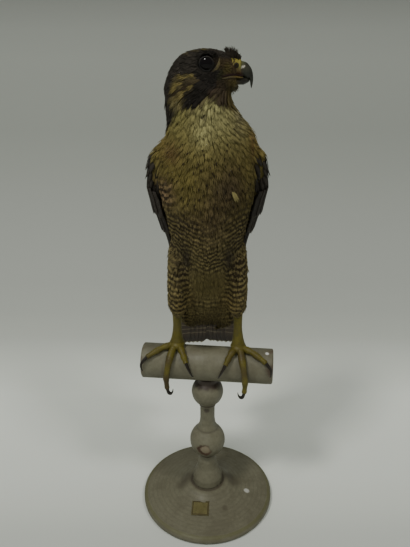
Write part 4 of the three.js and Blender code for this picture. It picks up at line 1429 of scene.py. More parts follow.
# %% Coat of the mantle and rump
roots = in_the_open(scattered_evenly(4.4, "torso"), 14)
roots = roots[is_back(roots)]
coat("mantle_plumage", roots, 20, 9.5, 2.8, "feather_slate", SLATE_PLUMAGE, lobes=1, rings=7, thick=0.25,
     camber=0.2, ruffle=0.08, fringe=1.0)

# %% Coat of the thighs
for side, name in SIDES:
    roots = scattered_evenly(2.1, "thigh_" + name)
    hem = 0.2655 + 0.003 * np.cos(roots[:, 0] * 300)
    roots = in_the_open(roots[roots[:, 2] > hem], 5)
    coat("thigh_plumage_" + name, roots, 11, 3.8, 2.5, "feather_barred", PALE_PLUMAGE, ruffle=0.08)

# %% Lesser coverts on the shoulders of the wings
COVERTS_END = 0.382


def shoulder_tone(points):
    """Slate, but buff like the breast over the bend of each wing, on the right one further down."""
    x, y, z = points.T / MM
    tone = mottled(points, SLATE, 0.2, 90)
    line = np.where(x > 0, 433, 415 + 2.1 * (np.abs(x) - 50)) + 2 * wavy(points, 130)
    pale = smoothstep(z, line - 1.5, line + 1.5) * fade(y, 10, 24)
    return blend(tone, body_marking(points)[0], pale)


for side, name in SIDES:
    roots = scattered_evenly(3.9, "wing_" + name)
    roots = in_the_open(roots[roots[:, 2] > COVERTS_END], 14)
    upper = smoothstep(roots[:, 2], 0.428, 0.444)
    coat("lesser_coverts_" + name, roots, 14 - 5 * upper, 7, 3.3 - 1.7 * upper, "feather_slate",
         SLATE_PLUMAGE, lobes=1, rings=6, thick=0.25, camber=0.2, ruffle=0.02, fringe=0.8,
         tone_of=shoulder_tone)

# %% [markdown]
# ## Flight feathers
#
# Folded, the primaries lie lowest and point to the tail, the secondaries close over them, and rows of
# coverts overlap each root like slates. Each vane is a thin lens in section, laid in the wing's own
# coordinates and tilted so that one edge slips under its neighbour. Its edges have small nicks, as on
# any old mount.

# %% Lay out one row of vanes
VANE_COLUMNS = 7
VANE_STEPS = 16


def vane_rings(place, count):
    """Closed rings of a row of vanes. place(t, across, face) gives points for t from root to tip."""
    s = np.linspace(0, 1, VANE_STEPS)
    t = (0.5 * s + 0.5 * np.sin(s * math.pi / 2))[None, :, None]
    across = np.linspace(-1, 1, VANE_COLUMNS)[None, None, :]
    under = across[..., -2:0:-1]
    rings = np.concatenate([place(t, across, 0), place(t, under, 1)], 2)
    u = np.concatenate([across, under], 2) * 0.5 + 0.5
    shape = (count, VANE_STEPS, u.shape[2])
    maps = np.stack([np.broadcast_to(u, shape), np.broadcast_to(t, shape)], -1)
    return rings, maps


def outline(t, point, wear):
    """Half the width of a vane, as a share: it rounds off past point and has worn nicks."""
    root = 0.5 + 0.5 * smoothstep(t, 0, 0.4)
    past = np.clip((t - point) / (1 - point), 0, 1)
    return np.maximum(root * np.sqrt(1 - past**2) * (1 - wear), 0.06)


def worn(count, across, depth=0.06):
    """Nicks in each vane's edges, different on its two sides."""
    cut = np.abs(random.normal(0, depth, (2, count, VANE_STEPS, 1)))
    cut[:, :, :5] = 0
    return np.where(across < 0, cut[0], cut[1])


def outward(rings):
    """The rings turned round where they would face inwards."""
    closed = np.concatenate([rings, rings[:, :, :1]], 2)
    middle = rings.mean((1, 2), keepdims=True)
    a, b = closed[:, :-1, :-1] - middle, closed[:, :-1, 1:] - middle
    c = closed[:, 1:, 1:] - middle
    volume = np.einsum("nijk,nijk->n", a, np.cross(b, c))
    return rings if volume.sum() > 0 else rings[:, :, ::-1]


# %% The rows of the wing
# Each row: how many, width at its front and back, how far root and tip stand off, tilt, where the tip
# starts to round, then tip height, root v, tip v and length for its first and its last feather
WING_ROWS = [
    (9, (12.5, 16.5), (-2.8, -2.0), 0.22, 0.60, (169, 0.22, 0.34, 104), (232, 0.66, 0.82, 74)),
    (9, (14.5, 19.0), (-2.2, 0.2), 0.15, 0.80, (250, 0.30, 0.30, 66), (272, 0.84, 0.84, 76)),
    (9, (13.0, 16.0), (-2.0, 0.7), 0.12, 0.84, (318, 0.12, 0.12, 42), (322, 0.88, 0.88, 48)),
    (10, (11.5, 14.5), (-1.8, 1.0), 0.12, 0.86, (345, 0.08, 0.08, 34), (350, 0.92, 0.92, 38)),
    (10, (11.0, 13.5), (-1.6, 1.2), 0.12, 0.86, (366, 0.06, 0.06, 30), (372, 0.94, 0.94, 32)),
]
WING_TONE = np.array((0.033, 0.027, 0.022))


def wing_row(side, count, width, lift, slope, point, front, back):
    f = np.linspace(0, 1, count)
    tip_z, root_v, tip_v, long = (first + (last - first) * f for first, last in zip(front, back))
    tip_z = tip_z + random.normal(0, 0.025, count) * long
    tip_v = tip_v + random.normal(0, 0.008, count)
    wide = (width[0] + (width[1] - width[0]) * f) * (1 + random.normal(0, 0.05, count))

    def spread(values):
        return values[:, None, None]

    def place(t, across, face):
        z = spread(tip_z) + spread(long) * (1 - t)
        wear = worn(count, across) if face == 0 else 0.02
        half = spread(wide) * 0.5 * outline(t, point, wear) * across
        v = spread(root_v) + spread(tip_v - root_v) * t + half / chord(z)
        tilt = slope * half * (0.4 + 0.6 * t)
        bow = 0.35 * (1 - across**2)
        off = lift[0] + (lift[1] - lift[0]) * t**1.5 - tilt + bow - face * (0.55 - 0.35 * t)
        return on_wing(side, z, v, off)

    rings, maps = vane_rings(place, count)
    tones = WING_TONE * (1 + random.normal(0, 0.13, (count, 1)))
    patches = np.stack([0.02 + 0.96 * root_v, (tip_z + long - 160) / 290], 1)
    phase = maps[..., 1] * spread(long) * MM * 0.8 + np.abs(maps[..., 0] - 0.5) * 3 * MM
    return outward(rings), maps, patches, tones, phase


def wing_feathers(side, name):
    parts = [wing_row(side, *row) for row in WING_ROWS]
    rings, maps, patches, tones, phase = (np.concatenate(group) for group in zip(*parts))
    shares = np.tile((0.35, 0.0, 0.5, 1.0), (len(rings), 1))
    feather_piece("flight_feathers_" + name, rings, maps, patches, tones, shares, phase, VANE_PLUMAGE,
                  "feather_slate", ["wing_" + name])


VANE_RIM = colour(0.06, 0.048, 0.03)
VANE_PLUMAGE = plumage("vane_plumage", SLATE_BARS, VANE_RIM, 0.6, barbs=70.0)
for side, name in SIDES:
    wing_feathers(side, name)

# %% [markdown]
# ## Tail
#
# Twelve feathers hang behind the bar in a narrow fan. From the front only their undersides show: grey
# brown with narrow pale bars, a broad dark band near the end, and pale, frayed tips.

# %% Lay the tail feathers
TAIL_ROOT = (71, 232)
TAIL_TIP = (103, 162)
TAIL_STEP = 0.75


def on_tail(t, x, forward):
    """Points on the tail at t from its root, x across and forward of its rear face, in metres."""
    y = TAIL_ROOT[0] + (TAIL_TIP[0] - TAIL_ROOT[0]) * t - 0.004 * x * x - forward
    z = TAIL_ROOT[1] + (TAIL_TIP[1] - TAIL_ROOT[1]) * t
    return np.stack(np.broadcast_arrays(x, y, z), -1) * MM


def tail_feathers():
    pair = np.repeat(np.arange(1, 7), 2)[:, None, None]
    hand = np.tile((1, -1), 6)[:, None, None]
    layer = (pair - 1) * TAIL_STEP + np.where(hand > 0, 0, TAIL_STEP / 2)
    short = 0.0015 * pair**2 + 0.03 * (pair == 1) * (hand < 0) + random.normal(0, 0.02, pair.shape)
    width = 14.5 * (1 + random.normal(0, 0.04, pair.shape))
    count = len(pair)

    def place(t, across, face):
        reach = -0.14 + 1.14 * t
        middle = hand * ((pair - 0.5) * (4.5 + 0.9 * np.maximum(reach, 0)) + 1.6 * (pair == 1) * t * t)
        wear = worn(count, across, 0.09) if face == 0 else 0.02
        x = middle + across * width * 0.5 * outline(t, 0.84, wear)
        bow = 0.3 * (1 - across**2) * (1 - face)
        return on_tail(reach * (1 - short), x, layer + (TAIL_STEP - 0.1) * face + bow)

    rings, maps = vane_rings(place, count)
    tones = np.array((0.062, 0.042, 0.03)) * (1 + random.normal(0, 0.08, (count, 1)))
    shares = np.tile((0.0, 0.0, 0.3, 0.2), (count, 1))
    patches = np.stack([0.5 + hand[:, 0, 0] * (pair[:, 0, 0] - 0.5) / 14, np.full(count, 0.5)], 1)
    feather_piece("tail_feathers", outward(rings), maps, patches, tones, shares, maps[..., 1],
                  TAIL_PLUMAGE, "feather_tail", ["tail"])


def undertail_coverts():
    """Two rows of soft barred feathers that close the belly over the roots of the tail."""
    column = np.concatenate([np.linspace(-1, 1, 13), np.linspace(-1, 1, 12)])[:, None, None]
    row = np.repeat((0.0, 1.0), (13, 12))[:, None, None]
    count = len(column)
    middle = column * (29 + row) + random.normal(0, 0.8, column.shape)
    width = 9.5 + random.normal(0, 0.6, column.shape)
    tip = 0.43 - 0.13 * row + random.normal(0, 0.016, column.shape)

    def place(t, across, face):
        reach = tip - 0.42 * (1 - t)
        wear = worn(count, across, 0.08) if face == 0 else 0.02
        x = middle * (1 + 0.04 * t) + across * width * 0.5 * outline(t, 0.6, wear)
        bow = 0.5 * (1 - across**2) * (1 - face)
        return on_tail(reach, x, 5.4 + 1.6 * row + 0.5 * (column > 0) - 1.2 * t - 0.7 * face + bow)

    rings, maps = vane_rings(place, count)
    rings = outward(rings)
    tones = PALE_BARS * 0.95 * (1 + random.normal(0, 0.1, (count, 1)))
    shares = np.tile((1.0, 0.0, 0.3, 0.0), (count, 1))
    patches = np.stack([0.5 + 0.4 * column[:, 0, 0], np.full(count, 0.8)], 1)
    phase = bar_phase(rings) + random.normal(0, 0.5 * MM, column.shape)
    feather_piece("undertail_coverts", rings, maps, patches, tones, shares, phase, PALE_PLUMAGE,
                  "feather_barred")


def tail_plumage():
    """Grey-brown with narrow pale bars, a dark band before the tip, and a pale rim."""
    material, tree, shader = new_material("tail_plumage", Roughness=0.7)
    pattern = tree.add("ShaderNodeGroup", {"Barb Count": 70.0}, node_tree=VANE_PATTERN).outputs
    tone = tree.attribute("tone").outputs["Color"]
    along = tree.attribute("phase").outputs["Fac"]
    blur = tree.times(tree.spots(tree.here(), 260, 2), 0.035)
    place = tree.plus(along, blur)
    wave = tree.calc("SINE", tree.times(place, 2 * math.pi * 9.5))
    broken = tree.step(tree.spots(tree.here(), 90, 3), 0.3, 0.5)
    bars = tree.times(tree.times(tree.step(wave, 0.62, 0.9), broken), tree.step(place, 0.88, 0.8))
    look = tone
    for mask, share, marking in (
        (bars, 0.95, colour(0.19, 0.155, 0.09)),
        (tree.step(place, 0.80, 0.88), 0.6, colour(0.028, 0.021, 0.015)),
        (tree.step(place, 0.975, 0.995), 1.0, colour(0.2, 0.17, 0.1)),
        (pattern["Shaft"], 0.25, colour(0.04, 0.03, 0.02)),
    ):
        look = tree.mix(tree.times(mask, share), look, marking)
    tree.put(shader.inputs["Base Color"], look)
    tree.put(shader.inputs["Normal"], tree.bump(pattern["Barbs"], 0.0001, 0.7))
    return material


TAIL_PLUMAGE = tail_plumage()
tail_feathers()
undertail_coverts()
print("wing feathers:", 2 * sum(row[0] for row in WING_ROWS), "tail feathers: 12")

# %% [markdown]
# ## Head: eyes and lids
#
# The eyes are glass and nearly black. Bare skin rims them, and in front it widens to the pale
# crescent that every falcon has. Crescent and lips are swept along lines that a ray finds on the
# skin's side, so they sit on it everywhere.

# %% Places on the head
def from_head(ahead, side, up):
    """The world place of a point in the head's own frame, given in millimetres."""
    cosine, sine = math.cos(HEAD_TURN), math.sin(HEAD_TURN)
    off = Vector((ahead * cosine - side * sine, side * cosine + ahead * sine, up))
    return Vector(HEAD_CENTRE) + off * MM


def skin_side(ahead, up, side, default):
    """How far out the skin lies at a place on one side of the head, in millimetres."""
    start = from_head(ahead, side * 45, up)
    hit = SKIN_TREE.ray_cast(start, from_head(ahead, 0, up) - start, 0.05)[0]
    if hit is None:
        return default
    return side * float(in_head(np.array(hit))[1])


def painted(name, bm, tone_at, material, slot, replaces=()):
    """A finished piece whose tone is written at each vertex by a function of the vertices' places."""
    mesh = closed_mesh(name, bm)
    put_tone(mesh, np.clip(tone_at(mesh_arrays(mesh)[0]), 0.003, 1))
    placed(name, mesh, material, slot, replaces)


def toned_material(name, roughness, coat, grain, depth, grime_share):
    """Bare skin or horn: the piece's own tone, with fine mottling, dust and grain."""
    material, tree, shader = new_material(
        name, Roughness=roughness, Coat_Weight=coat, Coat_Roughness=0.25, Specular_IOR_Level=0.3,
    )
    tone = tree.attribute("tone").outputs["Color"]
    place = tree.here()
    mottle = tree.step(tree.spots(place, 420, 3, 0.6), 0.35, 0.7)
    shaded = tree.mix(1.0, tone, colour(0.5, 0.45, 0.4), "MULTIPLY")
    look = tree.mix(tree.times(mottle, 0.4), tone, shaded)
    look = tree.mix(grime(tree, 60.0, grime_share), look, colour(0.07, 0.055, 0.03))
    tree.put(shader.inputs["Base Color"], look)
    tree.put(shader.inputs["Normal"], tree.bump(tree.spots(place, grain, 3, 0.6), depth, 0.8))
    return material


BARE_SKIN = toned_material("bare_skin", 0.55, 0.0, 1500, 0.0002, 0.25)
HORN = toned_material("horn", 0.36, 0.12, 500, 0.00012, 0.15)

# %% The eyes
EYE_GLASS, _, shader = new_material("eye_glass", Roughness=0.06, Specular_IOR_Level=0.2)
shader.inputs["Base Color"].default_value = colour(0.004, 0.003, 0.003)

for side, name in reversed(SIDES):
    bm = bmesh.new()
    bmesh.ops.create_uvsphere(bm, u_segments=64, v_segments=40, radius=EYE_RADIUS)
    bmesh.ops.translate(bm, vec=from_head(0, side * EYE_SIDE, 0), verts=bm.verts)
    finished("eye_" + name + "_glass", bm, EYE_GLASS, "eye_glass", ["eye_" + name])


# %% The lids
def lid_tone(places):
    low = fade(in_head(places)[:, 2], -6, -3)
    tone = blend(np.array((0.0045, 0.004, 0.004)), np.array((0.02, 0.018, 0.015)), low * 0.7)
    return mottled(places, tone, 0.4, 900)


def lid_ring(side):
    """A thick rim round the eye, spun about the eye's own axis and squeezed a little from above."""
    bm = bmesh.new()
    axis = from_head(0, side, 0) - from_head(0, 0, 0)
    centre = from_head(0, side * 19.4, 0)
    rim = bmesh.ops.create_circle(bm, segments=14, radius=0.7 * MM)["verts"]
    forward = from_head(1, 0, 0) - from_head(0, 0, 0)
    rows = Matrix((forward, axis, Vector((0, 0, 1)) * MM)).transposed().normalized()
    for vert in rim:
        flat = vert.co.copy()
        outward_share = 1.7 if flat.x > 0 else 1.0
        vert.co = centre + rows @ Vector((5.9 * MM + flat.x * outward_share, flat.y * 1.1, 0))
    edges = list({edge for vert in rim for edge in vert.link_edges})
    bmesh.ops.spin(bm, geom=edges, cent=centre, axis=axis, angle=2 * math.pi, steps=72, use_merge=True)
    bmesh.ops.remove_doubles(bm, verts=bm.verts, dist=1e-5)
    for vert in bm.verts:
        up = in_head(np.array(vert.co))[2]
        vert.co.z += -0.9 * MM * max(0, up / 7) + 0.2 * MM * noise.noise(vert.co * 900)
    return bm


for side, name in reversed(SIDES):
    painted("lid_" + name, lid_ring(side), lid_tone, BARE_SKIN, "cere_skin")


# %% The pale crescents before the eyes
def crescent_tone(places):
    ahead, _, up = in_head(places).T
    edge = smoothstep(np.hypot(ahead, up), 8.6, 10)
    tone = blend(np.array((0.035, 0.028, 0.012)), np.array((0.08, 0.065, 0.026)), edge)
    return mottled(places, tone, 0.3, 700)


def crescent(side):
    def place(t, c, s):
        angle = math.radians(22 - 80 * t)
        taper = math.sin(math.pi * min(max(t, 0.01), 0.99)) ** 0.7
        reach = 12.3 - 4.2 * t + 1.6 * taper * c
        ahead, up = reach * math.cos(angle), reach * math.sin(angle)
        rough = 0.15 * noise.noise(Vector((ahead, up, side)) * 1.3)
        out = skin_side(ahead, up, side, 17.5) + 0.25 + (0.75 * s + rough) * taper
        return from_head(ahead, side * out, up)

    return swept(16, 36, place)


for side, name in reversed(SIDES):
    painted("eye_crescent_" + name, crescent(side), crescent_tone, BARE_SKIN, "cere_skin")

# %% [markdown]
# ## Head: cere and bill
#
# A falcon's bill is short and deep. Its culmen curves from the cere straight into the hook, and the
# cutting edge bears one tooth just behind the hook. Each section is set by where it starts on the
# culmen, where it ends on the cutting edge and how wide it is. The nostril is a round pit with a
# small peg in its middle, pressed into the cere's own fine mesh.

# %% Lines of the bill
# Culmen ahead and up, cutting edge ahead and up, half width, from the cere to the hook's tip
BILL = [
    (27.0, 3.0, 27.0, -11.6, 6.6), (31.0, 1.7, 31.0, -12.0, 6.0), (35.4, 0.4, 33.8, -12.6, 5.3),
    (38.4, -2.4, 35.8, -13.9, 4.4), (40.3, -5.4, 37.4, -13.6, 3.6), (41.5, -8.9, 38.6, -14.8, 2.8),
    (42.0, -13.6, 39.2, -16.6, 2.0), (41.7, -17.8, 39.6, -18.9, 1.25), (41.0, -20.8, 40.0, -20.9, 0.6),
    (40.5, -22.1, 40.3, -22.0, 0.2),
]
NOSTRIL = (26.4, -1.9)


def bill_row(t):
    table = np.array([(k / (len(BILL) - 1), *row) for k, row in enumerate(BILL)])
    return [float(smooth_column(table, k, t)) for k in range(1, 6)]


def upper_bill():
    def place(t, c, s):
        top_x, top_z, low_x, low_z, half = bill_row(t)
        round_top = 1 - 0.32 * max(0, s) ** 2
        flat = abs(c) ** 0.85 * math.copysign(1, c)
        share = (s + 1) / 2
        ridge = 0.22 * math.exp(-((t - 0.78) / 0.09) ** 2) * (s < 0.4)
        wide = half * flat * round_top * (1 + 0.015 * math.sin(t * 70)) - ridge * flat
        return from_head(low_x + (top_x - low_x) * share, wide, low_z + (top_z - low_z) * share)

    return swept(48, 90, place)


def horn_tone(places):
    ahead, side, up = in_head(places).T
    base = fade(ahead, 30.5, 36) * smoothstep(up, -8, 1)
    reddish = fade(ahead, 30, 34) * fade(up, -8, -3)
    sheen = np.exp(-(((ahead - 36) / 3.5) ** 2) - ((up + 5) / 3.5) ** 2)
    turn = math.radians(22)
    along = (ahead - 32.2) * math.cos(turn) + (up + 3.3) * math.sin(turn)
    over = (up + 3.3) * math.cos(turn) - (ahead - 32.2) * math.sin(turn)
    # A whitish spot at the base of the bill, on its right side only
    whitish_spot = fade(np.hypot(along / 2.5, over / 0.95), 0.75, 1.1)
    return layered(mottled(places, (0.016, 0.017, 0.011), 0.5, 300), [
        ((0.085, 0.095, 0.04), base * 0.8),
        ((0.06, 0.035, 0.018), reddish * 0.8),
        ((0.045, 0.045, 0.03), sheen * 0.7),
        ((0.42, 0.40, 0.33), whitish_spot * (side < 0)),
    ])


painted("upper_bill", upper_bill(), horn_tone, HORN, "bill_horn", ["bill_upper"])


# %% The lower bill
def lower_bill():
    def place(t, c, s):
        ahead = 16 + 22.6 * t
        end = math.sqrt(max(0.02, 1 - max(0, (t - 0.8) / 0.2) ** 2))
        half = (7.4 - 3.9 * t * t) * end
        low = -19.0 + 2.2 * max(0, t - 0.75) * 4
        high = -12.4
        middle, deep = (low + high) / 2, (high - low) / 2 * (0.45 + 0.55 * end)
        return from_head(ahead, half * c, middle + deep * s)

    return swept(36, 40, place)


def lower_tone(places):
    ahead, _, up = in_head(places).T
    dark = mottled(places, (0.016, 0.015, 0.01), 0.4, 300)
    return blend(dark, np.array((0.06, 0.045, 0.018)), fade(ahead + 0.4 * up, 19, 25))


painted("lower_bill", lower_bill(), lower_tone, HORN, "bill_horn", ["bill_lower"])


# %% The cere and its nostrils
# Distance ahead of the eyes, top and bottom, half width
CERE = np.array([
    (19, 5.2, -12.4, 9.2), (24, 4.5, -12.2, 8.3), (27.5, 3.5, -12.0, 7.5), (30.3, 2.5, -11.6, 6.9),
    (31.1, 1.8, -11.2, 6.2),
])


def cere():
    def place(t, c, s):
        ahead = 19 + 12.1 * t
        top, low, half = (float(smooth_column(CERE, k, ahead)) for k in (1, 2, 3))
        lap = 1 + 0.06 * math.exp(-((ahead - 30) / 0.9) ** 2) - 0.16 * smoothstep(ahead, 30.3, 31.1)
        up = (top + low) / 2 + (top - low) / 2 * s * lap
        off = math.hypot(ahead - NOSTRIL[0], up - NOSTRIL[1])
        pit = -1.9 * fade(off, 1.35, 2.0) + 0.45 * math.exp(-((off - 2.5) / 0.5) ** 2)
        peg = 1.5 * fade(off, 0.45, 0.8)
        crease = 0.1 * math.sin(6 * ahead + 2 * s)
        side = abs(c) ** 0.8 * math.copysign(1, c)
        nostril = math.copysign(pit + peg, c) * (abs(c) > 0.3)
        return from_head(ahead, side * (half * lap + crease * 0.5) + nostril, up)

    return swept(200, 64, place)


def cere_tone(places):
    ahead, _, up = in_head(places).T
    low = fade(up + 0.25 * (ahead - 26), -4.2, -1.2)
    off = np.hypot(ahead - NOSTRIL[0], up - NOSTRIL[1])
    return layered(mottled(places, (0.22, 0.19, 0.03), 0.25, 500), [
        ((0.115, 0.085, 0.03), low * 0.95),
        ((0.07, 0.035, 0.018), fade(up, -9, -5.5) * 0.9),
        ((0.16, 0.17, 0.05), np.exp(-(((ahead - 30) / 1.6) ** 2) - ((up + 3.2) / 2.2) ** 2) * 0.8),
        # The pit round the peg is painted near black: painted shade inside the nostril
        ((0.006, 0.004, 0.002), fade(off, 2.0, 2.7)),
        ((0.09, 0.07, 0.01), fade(off, 0.4, 0.8)),
    ])


painted("wax_cere", cere(), cere_tone, BARE_SKIN, "cere_skin", ["cere"])


# %% The mouth line, with painted shade in its slit, and the lips
def lip_line(side, rear, front, drop, thick, tall):
    """A soft ridge from the corner of the mouth to the bill, seated on whatever lies there."""

    def place(t, c, s):
        ahead = rear + (front - rear) * t
        up = -12.2 + 1.0 * math.sin(math.pi * t) ** 2 + 0.5 * t + drop
        out = max(skin_side(ahead, up, side, 0), 6.6 + 4.2 * (1 - t))
        taper = math.sin(math.pi * min(max(0.08 + 0.84 * t, 0), 1)) ** 0.6
        return from_head(ahead, side * (out + thick * taper * c + 0.15), up + tall * taper * s)

    return swept(14, 44, place)


# The dark ridge along the mouth is near black with a red cast: painted shade in the slit between upper
# and lower bill
def mouth_slit_shade_tone(places):
    return np.tile((0.012, 0.003, 0.002), (len(places), 1))


def lip_tone(places):
    near_bill = smoothstep(in_head(places)[:, 0], 21, 27)
    tone = blend(np.array((0.085, 0.066, 0.032)), np.array((0.095, 0.068, 0.016)), near_bill)
    return mottled(places, tone, 0.25, 600)


for side, name in reversed(SIDES):
    painted("mouth_slit_shade_" + name, lip_line(side, 12.5, 33, 1.1, 1.2, 0.9), mouth_slit_shade_tone, BARE_SKIN, "cere_skin")
    painted("lip_" + name, lip_line(side, 14, 32.5, -0.6, 1.3, 1.0), lip_tone, BARE_SKIN, "cere_skin")

# %% [markdown]
# ## Head: tuft and bristles
#
# The short feathers of the forehead stand up, ruffled, over the cere, and fine bristles fringe the
# chin and the corner of the mouth. They leave the skin, so each has a root and a heading of its own.

# %% Feathers that stand off the skin
def standing(name, roots, heading, length, width, lobes, tones, bend, rings=6, thick=0.14):
    """Feathers that rise from their roots along headings, and droop by bend."""
    count = len(roots)
    t = np.linspace(0, 1, rings)
    reach = length[:, None, None] * MM
    sag = np.array((0, 0, -1.0)) * (bend * t[None, :, None] ** 2) * reach
    spine = roots[:, None] + heading[:, None] * t[None, :, None] * reach + sag
    along = unit(np.gradient(spine, axis=1))
    flat = unit(np.cross(along, random.normal(0, 1, (count, 1, 3))))
    ups = unit(np.cross(flat, along))
    across = unit(np.cross(along, ups))
    rings_out, maps = lobed(spine, across, ups, width * MM, lobes, 0.34, thick * MM, 0.25)
    copies = rings_out.shape[0] // count
    tones = np.tile(tones, (copies, 1))
    shares = np.tile((0.0, 0.0, 0.4, 0.25), (len(tones), 1))
    patches = np.tile(unwrapped(roots, 0), (copies, 1))
    phase = np.zeros(rings_out.shape[:3])
    feather_piece(name, rings_out, maps, patches, tones, shares, phase, SLATE_PLUMAGE, "feather_head")


def head_points(ahead, side, up):
    return np.array([from_head(a, s, u) for a, s, u in zip(ahead, side, up)])


# %% The forehead tuft
TUFT = 420
# Distance ahead of the eyes, height of the feathers' roots and of their tips
TUFT_LINES = np.array([
    (15, 8.6, 13.6), (20, 7.0, 14.4), (24, 5.0, 13.4), (27.5, 3.4, 10.0), (29.5, 2.4, 6.6),
])
ahead = random.uniform(17.2, 29.4, TUFT)
side = random.normal(0, 1, TUFT) * (3.6 - 0.14 * (ahead - 16))
low, high = (np.interp(ahead, TUFT_LINES[:, 0], TUFT_LINES[:, k]) for k in (1, 2))
roots = head_points(ahead, side, low - 0.8 - 0.05 * side**2)
forward = random.normal(-0.2, 0.22, TUFT) + 0.035 * (ahead - 22)
heading = unit(np.stack([forward, random.normal(0, 0.2, TUFT) - 0.02 * side, np.ones(TUFT)], 1))
tall = (high - low + 0.8) * random.uniform(0.45, 1.1, TUFT)
tones = np.array((0.024, 0.019, 0.013)) * random.uniform(0.6, 1.6, (TUFT, 1))
standing("forehead_tuft", roots, heading, tall, random.uniform(0.5, 1.1, TUFT), 1, tones, -0.02)

# %% Bristles of the chin and the mouth's corner
CHIN = 260
ahead = random.uniform(13, 29, CHIN)
side = random.normal(0, 3.6, CHIN)
roots = head_points(ahead, side, random.uniform(-22, -16, CHIN))
roots, _ = on_skin(roots)
spreads = ((0.25, 0.3), (0, 0.25), (-0.8, 0.2))
heading = unit(np.stack([random.normal(mean, spread, CHIN) for mean, spread in spreads], 1))
tones = np.array((0.105, 0.09, 0.045)) * random.uniform(0.5, 1.5, (CHIN, 1))
slim = random.random(CHIN) < 0.35
standing("chin_bristles", roots, heading, np.where(slim, 5.6, 3.0) * random.uniform(0.8, 1.2, CHIN),
         np.where(slim, 0.45, 1.6), 3, tones, 0.1, thick=0.1)
LORES = 90
ahead = random.uniform(12, 27, LORES)
up = random.uniform(-10.5, -2, LORES)
hand = random.choice((-1, 1), LORES)
out = np.array([skin_side(a, u, h, 9.0) for a, u, h in zip(ahead, up, hand)])
roots = head_points(ahead, hand * out, up)
spreads = ((-0.4, 0.4), (0, 0.15), (0.1, 0.5))
heading = np.stack([random.normal(mean, spread, LORES) for mean, spread in spreads], 1)
heading[:, 1] += hand * 0.55
heading = unit(heading)
tones = np.array((0.05, 0.035, 0.018)) * random.uniform(0.5, 1.8, (LORES, 1))
long, wide = random.uniform(2.0, 3.6, LORES), random.uniform(0.4, 0.7, LORES)
standing("lore_bristles", roots, heading, long, wide, 1, tones, 0.1, rings=4, thick=0.08)

# %% [markdown]
# ## Legs and feet
#
# The bare shanks are yellow and covered with small scales; along the top of each toe the scales widen
# to plates, and under each joint lies a pad. The foot grips the bar, so each toe follows a line round
# the bar: how far along it, how many degrees over its side, how far off. Plates are steps in the
# toe's radius, and the shank's scales a lattice pressed into its surface.

# %% Lines of the feet
STANCE = 34.5
ANKLE = (33.4, -1.0, 252.0)
TOES = {
    "middle": (
        [(0, 6, 4.6), (3.3, 26, 4.5), (6.4, 60, 4.2), (9, 98, 4.6), (9.3, 119, 7.2), (8.6, 134, 12.4)],
        [(8.6, 132, 11.8), (7.4, 140, 15.2), (4.6, 141, 16.2), (2.4, 134, 14.6), (1.6, 127, 12.4)],
    ),
    "outer": (
        [(2, 4, 4.6), (9, 14, 4.4), (15.5, 22, 4.2), (24, 37, 4.1), (32, 52, 4.1)],
        [(31.4, 51, 4.1), (36.6, 66, 4.8), (37.4, 79, 4.4), (36, 92, 2.6)],
    ),
    "inner": (
        [(-2, 6, 4.6), (-6.5, 27, 4.3), (-10, 46, 4.2), (-13, 63, 4.2)],
        [(-12.7, 61, 4.2), (-16.2, 78, 5.2), (-19, 92, 4.8), (-21, 103, 2.6)],
    ),
    "hallux": (
        [(0, -8, 4.6), (-2, -40, 4.3), (-3.5, -70, 4.2)],
        [(-3.3, -67, 4.3), (-4.4, -86, 5.8), (-5.2, -104, 5.2), (-5.6, -118, 2.6)],
    ),
}


def spline(points, t):
    """A point on a smooth curve through the points, and its direction."""
    count = len(points) - 1
    at = min(max(t, 0.0), 1.0) * count
    i = min(int(at), count - 1)
    f = at - i
    before, a, b, after = (points[min(max(k, 0), count)] for k in (i - 1, i, i + 1, i + 2))
    slope_a, slope_b = (b - before) * 0.5, (after - a) * 0.5
    place = (
        a * (2 * f**3 - 3 * f**2 + 1) + slope_a * (f**3 - 2 * f**2 + f)
        + b * (3 * f**2 - 2 * f**3) + slope_b * (f**3 - f**2)
    )
    way = (
        a * (6 * f**2 - 6 * f) + slope_a * (3 * f**2 - 4 * f + 1)
        + b * (6 * f - 6 * f**2) + slope_b * (3 * f**2 - 2 * f)
    )
    return place, way.normalized()


def toe_line(side, places):
    return [on_bar(side * (STANCE + s) * MM, degrees, lift * MM) for s, degrees, lift in places]


def away_from_bar(place):
    """The direction from the bar's middle line out to a place."""
    off = place - BAR_MIDDLE
    return (off - ALONG * off.dot(ALONG)).normalized()


def about_line(points, t):
    """A place on a line round the bar, with the directions off the bar and across the line there."""
    middle, way = spline(points, t)
    top = away_from_bar(middle)
    top = (top - way * top.dot(way)).normalized()
    return middle, top, way.cross(top)


# %% One toe
def make_toe(points, plates):
    def place(t, c, s):
        middle, top, across = about_line(points, t)
        swell = 0.35 * math.cos(6 * math.pi * t)
        end = math.sqrt(max(0.03, 1 - max(0, (t - 0.9) / 0.1) ** 2))
        radius = (4.35 - 1.9 * t + 0.35 * t * t + swell) * end
        saw = (t * plates) % 1
        plate = 0.34 * (saw ** 0.6 - 0.45) * max(0, s) ** 0.5
        pads = 0.55 * max(0, math.cos(6 * math.pi * t)) * max(0, -s) ** 2
        grain = 0.12 * noise.noise(middle * 900 + Vector((c, s, t)) * 2)
        return middle + (top * s * 0.95 + across * c) * (radius + plate + pads + grain) * MM

    return swept(28, plates * 6, place)


def leg_tone(places):
    """Olive yellow, browner in soft patches low on the front, where the toes curl down over the bar."""
    _, y, z = places.T
    front = smoothstep(-y + 0.3 * (0.23 - z), 0.005, 0.03)
    brown_patches = np.clip(0.5 + 1.6 * wavy(places, 70, 4), 0, 1) * front
    clean = mottled(places, (0.104, 0.089, 0.011), 0.2, 140)
    return blend(clean, np.array((0.045, 0.03, 0.012)), brown_patches * 0.8)


